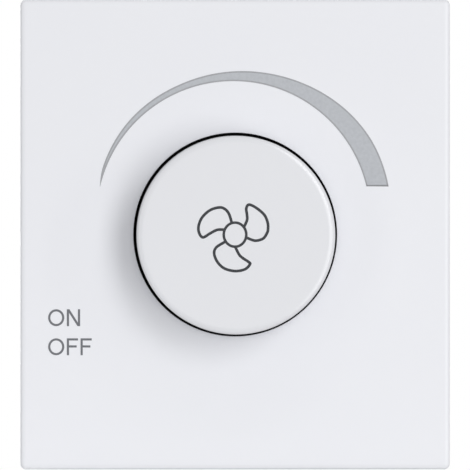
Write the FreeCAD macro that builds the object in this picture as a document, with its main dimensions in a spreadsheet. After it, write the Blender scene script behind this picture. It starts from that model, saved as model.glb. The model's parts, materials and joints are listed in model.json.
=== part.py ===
"""Fan speed control switch: a two-module flush device with a rotary knob.

Each sub-part is drawn as it is seen from the front, with x to the right, y up and z towards
the viewer, and z = 0 in the plane where the cover's rim bears on the support frame. One common
placement then stands it up, so that the front faces -Y and +Z is up.
"""
import FreeCAD, Part
import Sketcher
import os
from FreeCAD import Placement, Rotation, Vector

# Driving dimensions, in millimetres: alias, value, meaning
SIZES = [
    ("fit_gap", 0.2, "clearance between pieces that are put together by hand"),
    ("shaft_play", 0.05, "running clearance of turning pieces, on the radius"),
    ("cover_width", 44.8, "front cover, two modules wide"),
    ("cover_height", 49.0, "front cover, height"),
    ("cover_depth", 8.0, "front cover, from its rim to its face"),
    ("cover_wall", 1.5, "front cover, side walls"),
    ("cover_face", 1.8, "front cover, thickness of the face"),
    ("cover_corner", 0.6, "front cover, corner radius"),
    ("cover_edge", 0.5, "front cover, radius of the front edge"),
    ("collar_wall", 1.0, "collar behind the knob hole, wall"),
    ("collar_length", 3.2, "collar behind the knob hole, length"),
    ("well_floor", 0.8, "floor of the knob well, thickness"),
    ("hub_room", 0.6, "room round the hub in the floor of the knob well"),
    ("cover_rib", 0.9, "stiffening ribs behind the face, thickness"),
    ("cover_rib_height", 2.0, "stiffening ribs behind the face, height"),
    ("hook_width", 5.0, "snap hooks of the cover, width"),
    ("hook_thickness", 1.3, "snap hooks of the cover, thickness"),
    ("hook_offset", 9.2, "snap hooks, distance from the middle"),
    ("hook_reach", 5.2, "snap hooks, reach behind the rim"),
    ("barb_height", 0.9, "snap hooks, height of the barb"),
    ("barb_length", 2.4, "snap hooks, length of the barb"),
    ("knob_diameter", 20.62, "speed knob, outside"),
    ("knob_projection", 7.0, "speed knob, height above the cover's face"),
    ("knob_edge", 0.82, "knob, width of the eased front edge"),
    ("knob_ease", 0.44, "knob, depth of the eased front edge"),
    ("knob_gap", 0.31, "ring gap between knob and cover"),
    ("knob_wall", 1.4, "speed knob, skirt wall"),
    ("knob_face", 1.8, "speed knob, thickness of the face"),
    ("knob_skirt", 2.6, "speed knob, depth of the skirt below the cover's face"),
    ("hub_diameter", 9.0, "knob hub, outside"),
    ("hub_length", 10.0, "knob hub, length behind the knob's face"),
    ("hub_slit", 0.8, "knob hub, width of the spring slit"),
    ("slit_depth", 4.0, "knob hub, depth of the spring slit"),
    ("rib_thickness", 0.9, "knob ribs, thickness"),
    ("rib_depth", 4.5, "knob ribs, depth behind the face"),
    ("rib_count", 6, "knob ribs, how many"),
    ("ring_wall", 0.5, "spring ring round the hub, wall"),
    ("ring_width", 2.0, "spring ring round the hub, width"),
    ("shaft_diameter", 6.0, "control shaft"),
    ("shaft_flat", 1.5, "control shaft, distance of the flat from the axis"),
    ("shaft_end_gap", 0.3, "gap between the shaft's end and the knob"),
    ("tail_diameter", 3.0, "control shaft, tail that works the switch"),
    ("tail_reach", 2.4, "control shaft, reach of the tail into the switch"),
    ("bush_diameter", 7.0, "threaded bush"),
    ("bush_length", 6.0, "threaded bush, length in front of its plate"),
    ("bush_plate", 1.2, "plate of the bush that closes the can"),
    ("can_diameter", 16.5, "potentiometer can, outside"),
    ("can_wall", 0.5, "potentiometer can, sheet thickness"),
    ("can_depth", 4.4, "potentiometer can, depth"),
    ("can_hole_gap", 0.7, "room round the tail in the can and the wafer"),
    ("switch_depth", 4.6, "click switch behind the can, depth"),
    ("wafer_thickness", 1.0, "resistance wafer, thickness"),
    ("tongue_width", 10.0, "resistance wafer, width of the tongue with the lugs"),
    ("tongue_reach", 2.2, "resistance wafer, reach of the tongue past the can"),
    ("rotor_diameter", 11.6, "rotor that carries the wiper"),
    ("rotor_thickness", 1.0, "rotor, thickness"),
    ("stop_width", 4.2, "stop tab in the can, width"),
    ("stop_lug_width", 2.0, "stop lug of the rotor, width"),
    ("stop_lug_reach", 1.3, "stop lug of the rotor, reach past its rim"),
    ("stop_angle", 240.0, "stop lug, angle at the off stop"),
    ("spring_thickness", 0.3, "wiper spring, sheet thickness"),
    ("spring_diameter", 8.0, "wiper spring, ring"),
    ("foot_width", 1.2, "wiper spring, contact feet"),
    ("lug_pitch", 3.4, "potentiometer lugs, pitch"),
    ("lug_width", 1.0, "potentiometer lugs, width"),
    ("lug_thickness", 0.5, "potentiometer lugs, thickness"),
    ("solder_length", 0.9, "length of pins and leads past the board"),
    ("nut_flats", 10.0, "nut on the bush, across flats"),
    ("nut_thickness", 2.0, "nut on the bush, thickness"),
    ("plate_gap", 0.5, "cooling plate, clearance to the walls and the hooks"),
    ("plate_thickness", 1.5, "cooling plate, thickness"),
    ("plate_level", 4.0, "cooling plate, rear face behind the rim plane"),
    ("plate_corner", 2.0, "cooling plate, corner radius"),
    ("housing_width", 43.6, "rear housing, width"),
    ("housing_height", 43.4, "rear housing, height"),
    ("housing_depth", 30.0, "rear housing, depth behind the rim plane"),
    ("housing_wall", 1.6, "rear housing, side walls"),
    ("housing_back", 2.0, "rear housing, rear wall"),
    ("housing_corner", 1.5, "rear housing, corner radius"),
    ("housing_edge", 0.8, "housing, chamfer of the rear edge"),
    ("frame_thickness", 2.0, "support frame that the device clips into"),
    ("clip_width", 7.0, "spring clips for the support frame, width"),
    ("clip_slot", 0.8, "spring clips, slots beside them"),
    ("clip_length", 9.0, "spring clips, length"),
    ("tooth_height", 1.1, "spring clips, height of the tooth"),
    ("tooth_length", 3.8, "spring clips, length of the tooth"),
    ("vent_width", 1.4, "vent slots, width"),
    ("vent_length", 14.0, "vent slots, length"),
    ("vent_pitch", 3.0, "vent slots, pitch"),
    ("vent_count", 6, "vent slots, how many on a side"),
    ("vent_start", 6.5, "vent slots, lowest one below the axis"),
    ("vent_level", 8.0, "vent slots, front end behind the rim plane"),
    ("rear_vent_length", 12.0, "vent slots in the rear wall, length"),
    ("rear_vent_level", 2.0, "vent slots in the rear wall, lower end above the axis"),
    ("post_width", 5.0, "posts that carry the cooling plate, width"),
    ("post_inset_x", 3.9, "posts, distance of the axis from the side walls"),
    ("post_inset_y", 4.9, "posts, distance of the axis from the upper and lower walls"),
    ("shoulder_width", 7.4, "shoulders under the board on the upper posts, width"),
    ("screw_diameter", 2.0, "plate screws, thread"),
    ("screw_length", 8.0, "plate screws, length under the head"),
    ("screw_head", 4.2, "plate screws, head diameter"),
    ("screw_head_height", 1.5, "plate screws, head height"),
    ("slot_width", 0.7, "screwdriver slots, width"),
    ("slot_depth", 0.8, "screwdriver slots, depth"),
    ("board_thickness", 1.6, "circuit board, thickness"),
    ("board_drop", 10.6, "circuit board, lower edge below the axis"),
    ("terminal_offset", 7.0, "terminals, distance from the middle"),
    ("wire_hole", 3.2, "wire entries, diameter"),
    ("wire_space", 3.4, "terminal cage, space for the wire when open"),
    ("cage_width", 6.0, "terminal cage, width"),
    ("cage_length", 6.0, "terminal cage, length along the wire"),
    ("cage_side", 0.8, "terminal cage, side walls"),
    ("cage_jaw", 1.2, "terminal cage, wall that clamps the wire"),
    ("cage_thread_wall", 1.6, "terminal cage, wall with the thread"),
    ("cage_travel", 3.0, "terminal cage, travel"),
    ("bar_thickness", 0.8, "contact bars, thickness"),
    ("bar_width", 4.0, "contact bars, width"),
    ("clamp_screw", 3.0, "terminal screws, thread"),
    ("clamp_head", 5.0, "terminal screws, head diameter"),
    ("clamp_head_height", 1.8, "terminal screws, head height"),
    ("driver_hole", 4.2, "screwdriver holes in the rear wall"),
    ("stall_wall", 1.2, "guide walls beside the cages, thickness"),
    ("stall_height", 10.4, "guide walls beside the cages, height"),
    ("triac_width", 7.8, "switching device, width"),
    ("triac_length", 10.8, "switching device, length"),
    ("triac_height", 2.8, "switching device, height"),
    ("triac_hole_inset", 3.8, "switching device, hole from its lower end"),
    ("triac_drop", 6.6, "switching device, lower end below the axis"),
    ("triac_lead", 0.8, "switching device, width of its leads"),
    ("triac_pitch", 2.3, "switching device, pitch of its leads"),
    ("pad_thickness", 0.25, "insulating pad under the switching device"),
    ("tab_screw", 3.0, "screw of the switching device, thread"),
    ("tab_screw_head", 5.5, "screw of the switching device, head diameter"),
    ("tab_screw_head_height", 1.9, "screw of the switching device, head height"),
    ("tab_nut_flats", 5.5, "nut of the switching device, across flats"),
    ("tab_nut_thickness", 2.2, "nut of the switching device, thickness"),
    ("choke_width", 8.8, "suppression choke, width of the square flanges"),
    ("choke_height", 9.6, "suppression choke, height"),
    ("choke_flange", 1.1, "suppression choke, thickness of the flanges"),
    ("choke_core", 4.2, "suppression choke, diameter of the core"),
    ("winding_diameter", 7.8, "suppression choke, diameter of the winding"),
    ("mains_cap_width", 13.0, "suppression capacitor, width"),
    ("mains_cap_depth", 6.4, "suppression capacitor, depth"),
    ("mains_cap_height", 9.8, "suppression capacitor, height"),
    ("mains_cap_x", 3.6, "suppression capacitor, right of the middle"),
    ("mains_cap_inset", 2.4, "suppression capacitor, distance from the upper wall"),
    ("timing_cap_width", 6.4, "timing capacitor, width"),
    ("timing_cap_depth", 3.6, "timing capacitor, depth"),
    ("timing_cap_height", 7.0, "timing capacitor, height"),
    ("timing_cap_x", -7.0, "timing capacitor, right of the middle"),
    ("timing_cap_inset", 4.7, "timing capacitor, distance from the upper wall"),
    ("case_edge", 0.5, "chamfer of the capacitor cases"),
    ("resistor_diameter", 2.3, "resistors, body diameter"),
    ("resistor_length", 5.2, "resistors, body length"),
    ("diac_diameter", 1.8, "trigger diode, body diameter"),
    ("diac_length", 4.0, "trigger diode, body length"),
    ("fuse_diameter", 2.4, "fuse, body diameter"),
    ("fuse_length", 5.6, "fuse, body length"),
    ("lead_width", 0.6, "wire leads, square section"),
    ("lead_reach", 1.0, "wire leads, reach past the body before the bend"),
    ("resistor_row_y", -7.4, "lower resistor, above the axis"),
    ("resistor_row_pitch", 6.8, "resistors, pitch"),
    ("diac_y", -4.0, "trigger diode, above the axis"),
    ("fuse_y", -7.6, "fuse, above the axis"),
]

# Levels along z, worked out from the sizes
FACE_INSIDE = "(dim.cover_depth - dim.cover_face)"
KNOB_FACE = "(dim.cover_depth + dim.knob_projection)"
KNOB_INSIDE = f"({KNOB_FACE} - dim.knob_face)"
SKIRT_END = "(dim.cover_depth - dim.knob_skirt)"
HUB_END = f"({KNOB_INSIDE} - dim.hub_length)"
PLATE_REAR = "(-dim.plate_level)"
PLATE_FRONT = f"({PLATE_REAR} + dim.plate_thickness)"
CAN_FRONT = f"({PLATE_REAR} - dim.bush_plate)"
CAN_REAR = f"({CAN_FRONT} - dim.can_depth)"
ROTOR_FRONT = f"({CAN_FRONT} - dim.fit_gap)"
ROTOR_REAR = f"({ROTOR_FRONT} - dim.rotor_thickness)"
WAFER_REAR = f"({CAN_REAR} + dim.can_wall)"
WAFER_FRONT = f"({WAFER_REAR} + dim.wafer_thickness)"
BOARD_FRONT = f"({CAN_REAR} - dim.switch_depth)"
BOARD_REAR = f"({BOARD_FRONT} - dim.board_thickness)"
LEAD_END = f"({BOARD_REAR} - dim.solder_length)"
FLOOR = "(dim.housing_back - dim.housing_depth)"
HEAD_REAR = f"({FLOOR} + dim.fit_gap)"
HEAD_FRONT = f"({HEAD_REAR} + dim.clamp_head_height)"
CAGE_REAR = f"({HEAD_FRONT} + dim.fit_gap + dim.cage_travel)"
BAR_REAR = f"({CAGE_REAR} + dim.cage_thread_wall + dim.fit_gap)"
BAR_FRONT = f"({BAR_REAR} + dim.bar_thickness)"
JAW_INSIDE = f"({BAR_FRONT} + dim.wire_space)"
CAGE_FRONT = f"({JAW_INSIDE} + dim.cage_jaw)"

# Places across the device
INSIDE_X = "(dim.housing_width / 2 - dim.housing_wall)"
INSIDE_Y = "(dim.housing_height / 2 - dim.housing_wall)"
KNOB_HOLE = "(dim.knob_diameter / 2 + dim.knob_gap)"
CAN_INSIDE = "(dim.can_diameter / 2 - dim.can_wall)"
CAGE_LOW = f"(-{INSIDE_Y} + dim.fit_gap)"
CAGE_HIGH = f"({CAGE_LOW} + dim.cage_length)"
CLAMP_Y = f"({CAGE_LOW} + dim.cage_length / 2)"
BAR_TAB_LOW = "(-dim.board_drop + dim.bar_thickness)"
BAR_TAB_HIGH = f"({BAR_TAB_LOW} + dim.bar_thickness)"
SIDE_MIDDLE = f"((dim.can_diameter / 2 + {INSIDE_X}) / 2)"
POST_X = f"({INSIDE_X} - dim.post_inset_x)"
POST_Y = f"({INSIDE_Y} - dim.post_inset_y)"
HOOK_OUTSIDE = f"({INSIDE_Y} - dim.fit_gap)"
HOOK_INSIDE = f"({HOOK_OUTSIDE} - dim.hook_thickness)"
TRIAC_LOW = "(-dim.triac_drop)"
TRIAC_HIGH = f"({TRIAC_LOW} + dim.triac_length)"
TRIAC_HOLE_Y = f"({TRIAC_LOW} + dim.triac_hole_inset)"
TRIAC_FRONT = f"({PLATE_REAR} - dim.pad_thickness)"
TRIAC_REAR = f"({TRIAC_FRONT} - dim.triac_height)"

UPRIGHT = Placement(Vector(0, 0, 0), Rotation(Vector(1, 0, 0), 90))
ALONG_X = Rotation(Vector(0, 1, 0), 90)
BOTH_SIDES = ((-1, "left"), (1, "right"))

doc = FreeCAD.newDocument("fan_speed_control")
sub_parts = []


def write_sheet():
    """Puts the driving dimensions into the spreadsheet."""
    sheet = doc.addObject("Spreadsheet::Sheet", "dim")
    for row, (alias, value, meaning) in enumerate(SIZES, start=1):
        sheet.set(f"A{row}", meaning)
        sheet.set(f"B{row}", str(value))
        sheet.setAlias(f"B{row}", alias)
    doc.recompute()
    return sheet


dim = write_sheet()


def value(expression):
    """The number that an expression of sheet cells gives."""
    return float(dim.evalExpression(expression))


def keep(label, item, turn=0.0):
    """Names a finished sub-part and stands it up in the row's frame, turned about its own z axis."""
    item.Label = label
    item.Placement = UPRIGHT.multiply(Placement(Vector(0, 0, 0), Rotation(Vector(0, 0, 1), turn)))
    sub_parts.append(item)
    return item


def bind_base(item, x, y, z):
    """Binds the place of an object to three expressions."""
    item.setExpression("Placement.Base.x", x)
    item.setExpression("Placement.Base.y", y)
    item.setExpression("Placement.Base.z", z)
    return item


def cylinder(name, radius, bottom, height, x="0", y="0"):
    """A cylinder along z that starts at the level bottom."""
    item = doc.addObject("Part::Cylinder", name)
    item.setExpression("Radius", radius)
    item.setExpression("Height", height)
    return bind_base(item, x, y, bottom)


def rod(name, radius, length, x, y, z):
    """A cylinder along x that starts at x."""
    item = doc.addObject("Part::Cylinder", name)
    item.setExpression("Radius", radius)
    item.setExpression("Height", length)
    item.Placement = Placement(Vector(0, 0, 0), ALONG_X)
    return bind_base(item, x, y, z)


def block(name, x, y, z, length, width, height):
    """A box with its low corner at x, y, z."""
    item = doc.addObject("Part::Box", name)
    item.setExpression("Length", length)
    item.setExpression("Width", width)
    item.setExpression("Height", height)
    return bind_base(item, x, y, z)


def hexagon(name, flats, bottom, height, x="0", y="0"):
    """A hexagonal prism along z with the given width across its flats."""
    item = doc.addObject("Part::Prism", name)
    item.Polygon = 6
    item.setExpression("Circumradius", f"{flats} / sqrt(3)")
    item.setExpression("Height", height)
    return bind_base(item, x, y, bottom)


def fuse(name, pieces):
    """Joins several solids into one."""
    item = doc.addObject("Part::MultiFuse", name)
    item.Shapes = pieces
    return item


def cut(name, base, tool):
    """Takes one solid away from another."""
    item = doc.addObject("Part::Cut", name)
    item.Base = base
    item.Tool = tool
    return item


def group(name, pieces):
    """Holds several solids of one sub-part together, each by itself."""
    item = doc.addObject("Part::Compound", name)
    item.Links = pieces
    return item


def new_body(name):
    """An empty body for sketched features."""
    return doc.addObject("PartDesign::Body", name)


def origin_plane(body, role):
    """One of the body's own origin planes, found by its role."""
    for feature in body.Origin.OriginFeatures:
        if feature.Role == role:
            return feature
    raise ValueError(f"no plane {role}")


def new_sketch(body, name, role="XY_Plane", offset="0"):
    """A sketch on one of the body's origin planes, moved along the plane's normal."""
    sketch = body.newObject("Sketcher::SketchObject", name)
    sketch.AttachmentSupport = [(origin_plane(body, role), "")]
    sketch.MapMode = "FlatFace"
    sketch.setExpression("AttachmentOffset.Base.z", offset)
    return sketch


def pin(sketch, kind, index, point, expression):
    """Fixes one coordinate of a point from the sketch's origin."""
    constraint = Sketcher.Constraint(kind, -1, 1, index, point, value(expression))
    sketch.setExpression(f"Constraints[{sketch.addConstraint(constraint)}]", expression)


def polygon(sketch, corners):
    """A closed outline through corners given as pairs of expressions."""
    points = [Vector(value(x), value(y), 0) for x, y in corners]
    first = sketch.GeometryCount
    for start, end in zip(points, points[1:] + points[:1]):
        sketch.addGeometry(Part.LineSegment(start, end), False)
    for index, (x, y) in enumerate(corners):
        following = first + (index + 1) % len(corners)
        sketch.addConstraint(Sketcher.Constraint("Coincident", first + index, 2, following, 1))
        pin(sketch, "DistanceX", first + index, 1, x)
        pin(sketch, "DistanceY", first + index, 1, y)


def rectangle(sketch, x, y, width, height):
    """A rectangle about the middle point x, y."""
    left, right = f"{x} - {width} / 2", f"{x} + {width} / 2"
    low, high = f"{y} - {height} / 2", f"{y} + {height} / 2"
    polygon(sketch, [(left, low), (right, low), (right, high), (left, high)])


def circle(sketch, x, y, radius):
    """A circle about the middle point x, y."""
    place = Vector(value(x), value(y), 0)
    index = sketch.addGeometry(Part.Circle(place, Vector(0, 0, 1), value(radius)), False)
    pin(sketch, "DistanceX", index, 3, x)
    pin(sketch, "DistanceY", index, 3, y)
    size = sketch.addConstraint(Sketcher.Constraint("Radius", index, value(radius)))
    sketch.setExpression(f"Constraints[{size}]", radius)


def pad(body, sketch, length, backwards=False, symmetric=False):
    """Adds the sketch's area to the body, drawn out along the sketch's normal."""
    feature = body.newObject("PartDesign::Pad", f"{sketch.Name}_pad")
    feature.Profile = sketch
    feature.setExpression("Length", length)
    feature.Reversed = backwards
    if symmetric:
        feature.SideType = "Symmetric"
    doc.recompute()
    return feature


def pocket(body, sketch, length=None, forwards=False):
    """Cuts the sketch's area out of the body, right through on both sides if no length is given."""
    before = body.Shape.Volume
    feature = body.newObject("PartDesign::Pocket", f"{sketch.Name}_pocket")
    feature.Profile = sketch
    feature.Reversed = forwards
    if length is None:
        feature.Type = "ThroughAll"
        feature.SideType = "Symmetric"
    else:
        feature.setExpression("Length", length)
    doc.recompute()
    if body.Shape.Volume >= before:
        raise RuntimeError(f"{feature.Name} cuts nothing")
    return feature


def revolve(body, sketch):
    """Turns the sketch's area about its vertical axis."""
    feature = body.newObject("PartDesign::Revolution", f"{sketch.Name}_turned")
    feature.Profile = sketch
    feature.ReferenceAxis = (sketch, ["V_Axis"])
    feature.Angle = 360
    doc.recompute()
    return feature


def edges_of(feature, wanted):
    """Names of the feature's edges that pass a test."""
    return [f"Edge{number}" for number, edge in enumerate(feature.Shape.Edges, start=1) if wanted(edge)]


def round_edges(body, feature, name, radius, wanted):
    """Rounds the edges of the feature that pass a test."""
    fillet = body.newObject("PartDesign::Fillet", name)
    fillet.Base = (feature, edges_of(feature, wanted))
    fillet.setExpression("Radius", radius)
    doc.recompute()
    return fillet


def bevel_edges(body, feature, name, size, wanted):
    """Bevels the edges of the feature that pass a test."""
    chamfer = body.newObject("PartDesign::Chamfer", name)
    chamfer.Base = (feature, edges_of(feature, wanted))
    chamfer.setExpression("Size", size)
    doc.recompute()
    return chamfer


def runs_along_z(edge):
    """Whether an edge is a straight line along z."""
    box = edge.BoundBox
    return box.ZLength > max(box.XLength, box.YLength)


def lies_at(level):
    """A test for edges that lie flat at one level of z."""
    height = value(level)
    return lambda edge: max(abs(edge.BoundBox.ZMin - height), abs(edge.BoundBox.ZMax - height)) < 1e-6


def mirror_sides(body, feature, name):
    """Repeats a feature on the other side of the body's middle plane."""
    mirrored = body.newObject("PartDesign::Mirrored", name)
    mirrored.Originals = [feature]
    mirrored.MirrorPlane = (origin_plane(body, "YZ_Plane"), [""])
    body.Tip = mirrored
    doc.recompute()
    return mirrored


def make_front_cover():
    """The tray-shaped cover: face with the knob's well, side walls, ribs and four snap hooks."""
    body = new_body("front_cover_body")
    outline = new_sketch(body, "cover_outline")
    rectangle(outline, "0", "0", "dim.cover_width", "dim.cover_height")
    solid = pad(body, outline, "dim.cover_depth")
    solid = round_edges(body, solid, "cover_corners", "dim.cover_corner", runs_along_z)
    round_edges(body, solid, "cover_front_edge", "dim.cover_edge", lies_at("dim.cover_depth"))

    hollow = new_sketch(body, "cover_hollow")
    inside_width = "(dim.cover_width - 2 * dim.cover_wall)"
    inside_height = "(dim.cover_height - 2 * dim.cover_wall)"
    rectangle(hollow, "0", "0", inside_width, inside_height)
    pocket(body, hollow, FACE_INSIDE, forwards=True)

    ribs = new_sketch(body, "cover_ribs", offset=FACE_INSIDE)
    rectangle(ribs, "0", "0", "(dim.cover_width - dim.cover_wall)", "dim.cover_rib")
    pad(body, ribs, "dim.cover_rib_height", backwards=True)

    collar = new_sketch(body, "cover_collar", offset=FACE_INSIDE)
    circle(collar, "0", "0", f"{KNOB_HOLE} + dim.collar_wall")
    pad(body, collar, "dim.collar_length", backwards=True)
    well = new_sketch(body, "cover_knob_well", offset="dim.cover_depth")
    circle(well, "0", "0", KNOB_HOLE)
    pocket(body, well, "dim.cover_face + dim.collar_length - dim.well_floor")
    hole = new_sketch(body, "cover_hub_hole")
    circle(hole, "0", "0", "dim.hub_diameter / 2 + dim.ring_wall + dim.hub_room")
    pocket(body, hole)

    hooks = new_sketch(body, "cover_hooks", "YZ_Plane", "dim.hook_offset")
    root = "(dim.cover_depth - dim.cover_face / 2)"
    catch = "(dim.barb_length - dim.hook_reach)"
    for sign in ("1", "-1"):
        polygon(hooks, [
            (f"{sign} * {HOOK_INSIDE}", root),
            (f"{sign} * {HOOK_OUTSIDE}", root),
            (f"{sign} * {HOOK_OUTSIDE}", catch),
            (f"{sign} * ({HOOK_OUTSIDE} + dim.barb_height)", catch),
            (f"{sign} * {HOOK_OUTSIDE}", "-dim.hook_reach"),
            (f"{sign} * {HOOK_INSIDE}", "-dim.hook_reach"),
        ])
    side = pad(body, hooks, "dim.hook_width", symmetric=True)
    mirror_sides(body, side, "cover_hooks_other_side")
    keep("front_cover", body)


def make_knob():
    """The hollow knob with its split hub, D-shaped bore and six ribs."""
    body = new_body("speed_knob_body")
    radius = "dim.knob_diameter / 2"
    profile = new_sketch(body, "knob_profile", "XZ_Plane")
    polygon(profile, [
        ("0", KNOB_FACE),
        (f"{radius} - dim.knob_edge", KNOB_FACE),
        (radius, f"{KNOB_FACE} - dim.knob_ease"),
        (radius, SKIRT_END),
        (f"{radius} - dim.knob_wall", SKIRT_END),
        (f"{radius} - dim.knob_wall", KNOB_INSIDE),
        ("dim.hub_diameter / 2", KNOB_INSIDE),
        ("dim.hub_diameter / 2", HUB_END),
        ("0", HUB_END),
    ])
    revolve(body, profile)

    rib = new_sketch(body, "knob_rib", offset=KNOB_INSIDE)
    inner, outer = "dim.hub_diameter / 2", f"{radius} - dim.knob_wall"
    middle = f"(({inner}) + ({outer})) / 2"
    reach = f"({outer} - {inner} + dim.rib_thickness)"
    rectangle(rib, middle, "0", reach, "dim.rib_thickness")
    first = pad(body, rib, "dim.rib_depth", backwards=True)
    ribs = body.newObject("PartDesign::PolarPattern", "knob_ribs")
    ribs.Originals = [first]
    ribs.Axis = (rib, ["N_Axis"])
    ribs.Angle = 360
    ribs.setExpression("Occurrences", "dim.rib_count")
    body.Tip = ribs
    doc.recompute()

    bore = new_sketch(body, "knob_bore", offset=HUB_END)
    circle(bore, "0", "0", "dim.shaft_diameter / 2 + dim.shaft_play")
    pocket(body, bore, "dim.hub_length", forwards=True)
    key = new_sketch(body, "knob_bore_flat", offset=HUB_END)
    half = "(dim.shaft_diameter / 2 + dim.shaft_play)"
    low = "(dim.shaft_flat + dim.shaft_play)"
    polygon(key, [(f"-{half}", low), (half, low), (half, half), (f"-{half}", half)])
    pad(body, key, "dim.hub_length")
    slit = new_sketch(body, "knob_hub_slit", offset=HUB_END)
    rectangle(slit, "0", "0", "(dim.hub_diameter + dim.hub_slit)", "dim.hub_slit")
    pocket(body, slit, "dim.slit_depth", forwards=True)
    keep("speed_knob", body)


def make_hub_ring():
    """The steel spring ring that closes the split hub on the shaft."""
    level = f"{HUB_END} + dim.ring_wall"
    inside = "dim.hub_diameter / 2"
    outer = cylinder("ring_outer", f"{inside} + dim.ring_wall", level, "dim.ring_width")
    inner = cylinder("ring_inner", inside, level, "dim.ring_width")
    keep("hub_ring", cut("hub_ring_solid", outer, inner))


def make_shaft():
    """The control shaft: flatted end in the knob, journal in the bush, tail in the switch."""
    body = new_body("control_shaft_body")
    radius = "dim.shaft_diameter / 2"
    end = f"({KNOB_INSIDE} - dim.shaft_end_gap)"
    tail = f"({CAN_REAR} - dim.tail_reach)"
    profile = new_sketch(body, "shaft_profile", "XZ_Plane")
    polygon(profile, [
        ("0", end),
        (radius, end),
        (radius, ROTOR_FRONT),
        ("dim.tail_diameter / 2", ROTOR_FRONT),
        ("dim.tail_diameter / 2", tail),
        ("0", tail),
    ])
    revolve(body, profile)
    flat = new_sketch(body, "shaft_flat", offset=end)
    polygon(flat, [
        (f"-{radius}", "dim.shaft_flat"),
        (radius, "dim.shaft_flat"),
        (radius, radius),
        (f"-{radius}", radius),
    ])
    pocket(body, flat, f"{end} - {PLATE_REAR} - dim.bush_length - dim.fit_gap")
    keep("control_shaft", body)


def make_bush():
    """The threaded bush with the plate that closes the front of the can."""
    body = new_body("pot_bush_body")
    bore = "dim.shaft_diameter / 2 + dim.shaft_play"
    tip = f"{PLATE_REAR} + dim.bush_length"
    profile = new_sketch(body, "bush_profile", "XZ_Plane")
    polygon(profile, [
        (bore, tip),
        ("dim.bush_diameter / 2", tip),
        ("dim.bush_diameter / 2", PLATE_REAR),
        ("dim.can_diameter / 2", PLATE_REAR),
        ("dim.can_diameter / 2", CAN_FRONT),
        (bore, CAN_FRONT),
    ])
    revolve(body, profile)
    keep("pot_bush", body)


def make_bush_fixing():
    """The nut that holds the bush on the cooling plate."""
    bore = "dim.bush_diameter / 2 + dim.shaft_play"
    prism = hexagon("nut_prism", "dim.nut_flats", PLATE_FRONT, "dim.nut_thickness")
    thread = cylinder("nut_thread", bore, PLATE_FRONT, "dim.nut_thickness")
    keep("bush_nut", cut("bush_nut_solid", prism, thread))


def make_can():
    """The sheet steel can with its stop tab and the window for the lugs."""
    body = new_body("pot_can_body")
    outer = "dim.can_diameter / 2"
    hole = "dim.tail_diameter / 2 + dim.can_hole_gap"
    profile = new_sketch(body, "can_profile", "XZ_Plane")
    polygon(profile, [
        (outer, CAN_FRONT),
        (outer, CAN_REAR),
        (hole, CAN_REAR),
        (hole, WAFER_REAR),
        (CAN_INSIDE, WAFER_REAR),
        (CAN_INSIDE, CAN_FRONT),
    ])
    revolve(body, profile)
    stop = new_sketch(body, "can_stop", offset=CAN_FRONT)
    half = "dim.stop_width / 2"
    high = "-(dim.rotor_diameter / 2 + dim.fit_gap)"
    low = f"-({CAN_INSIDE} - dim.can_wall / 2)"
    polygon(stop, [(f"-{half}", low), (half, low), (half, high), (f"-{half}", high)])
    pad(body, stop, "dim.fit_gap + dim.rotor_thickness", backwards=True)
    window = new_sketch(body, "can_window", "XZ_Plane", outer)
    side = "(dim.tongue_width / 2 + dim.fit_gap)"
    top = f"{WAFER_FRONT} + dim.fit_gap"
    polygon(window, [(f"-{side}", WAFER_REAR), (side, WAFER_REAR), (side, top), (f"-{side}", top)])
    pocket(body, window, "dim.can_diameter / 2 - dim.tail_diameter")
    keep("pot_can", body)


def make_wafer():
    """The resistance wafer with its tongue, and the lugs that join it and the switch to the board."""
    disc = cylinder("wafer_disc", f"{CAN_INSIDE} - dim.shaft_play", WAFER_REAR, "dim.wafer_thickness")
    low = "-(dim.can_diameter / 2 + dim.tongue_reach)"
    tongue = block(
        "wafer_tongue", "-dim.tongue_width / 2", low, WAFER_REAR,
        "dim.tongue_width", "dim.can_diameter / 4 + dim.tongue_reach", "dim.wafer_thickness",
    )
    hole_radius = "dim.tail_diameter / 2 + dim.can_hole_gap"
    hole = cylinder("wafer_hole", hole_radius, WAFER_REAR, "dim.wafer_thickness")
    keep("pot_wafer", cut("pot_wafer_solid", fuse("wafer_outline", [disc, tongue]), hole))

    lugs = []
    for place in (-1, 0, 1):
        lugs.append(block(
            f"wafer_lug_{place + 2}", f"{place} * dim.lug_pitch - dim.lug_width / 2",
            "-(dim.can_diameter / 2 + dim.tongue_reach / 2)", LEAD_END,
            "dim.lug_width", "dim.lug_thickness", f"{WAFER_REAR} - {LEAD_END}",
        ))
    for place, side in BOTH_SIDES:
        lugs.append(block(
            f"switch_pin_{side}", f"{place} * dim.lug_pitch - dim.lug_width / 2",
            "dim.can_diameter / 4", LEAD_END,
            "dim.lug_width", "dim.lug_thickness", f"{BOARD_FRONT} - {LEAD_END}",
        ))
    keep("pot_lugs", group("pot_lugs_group", lugs))


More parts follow.
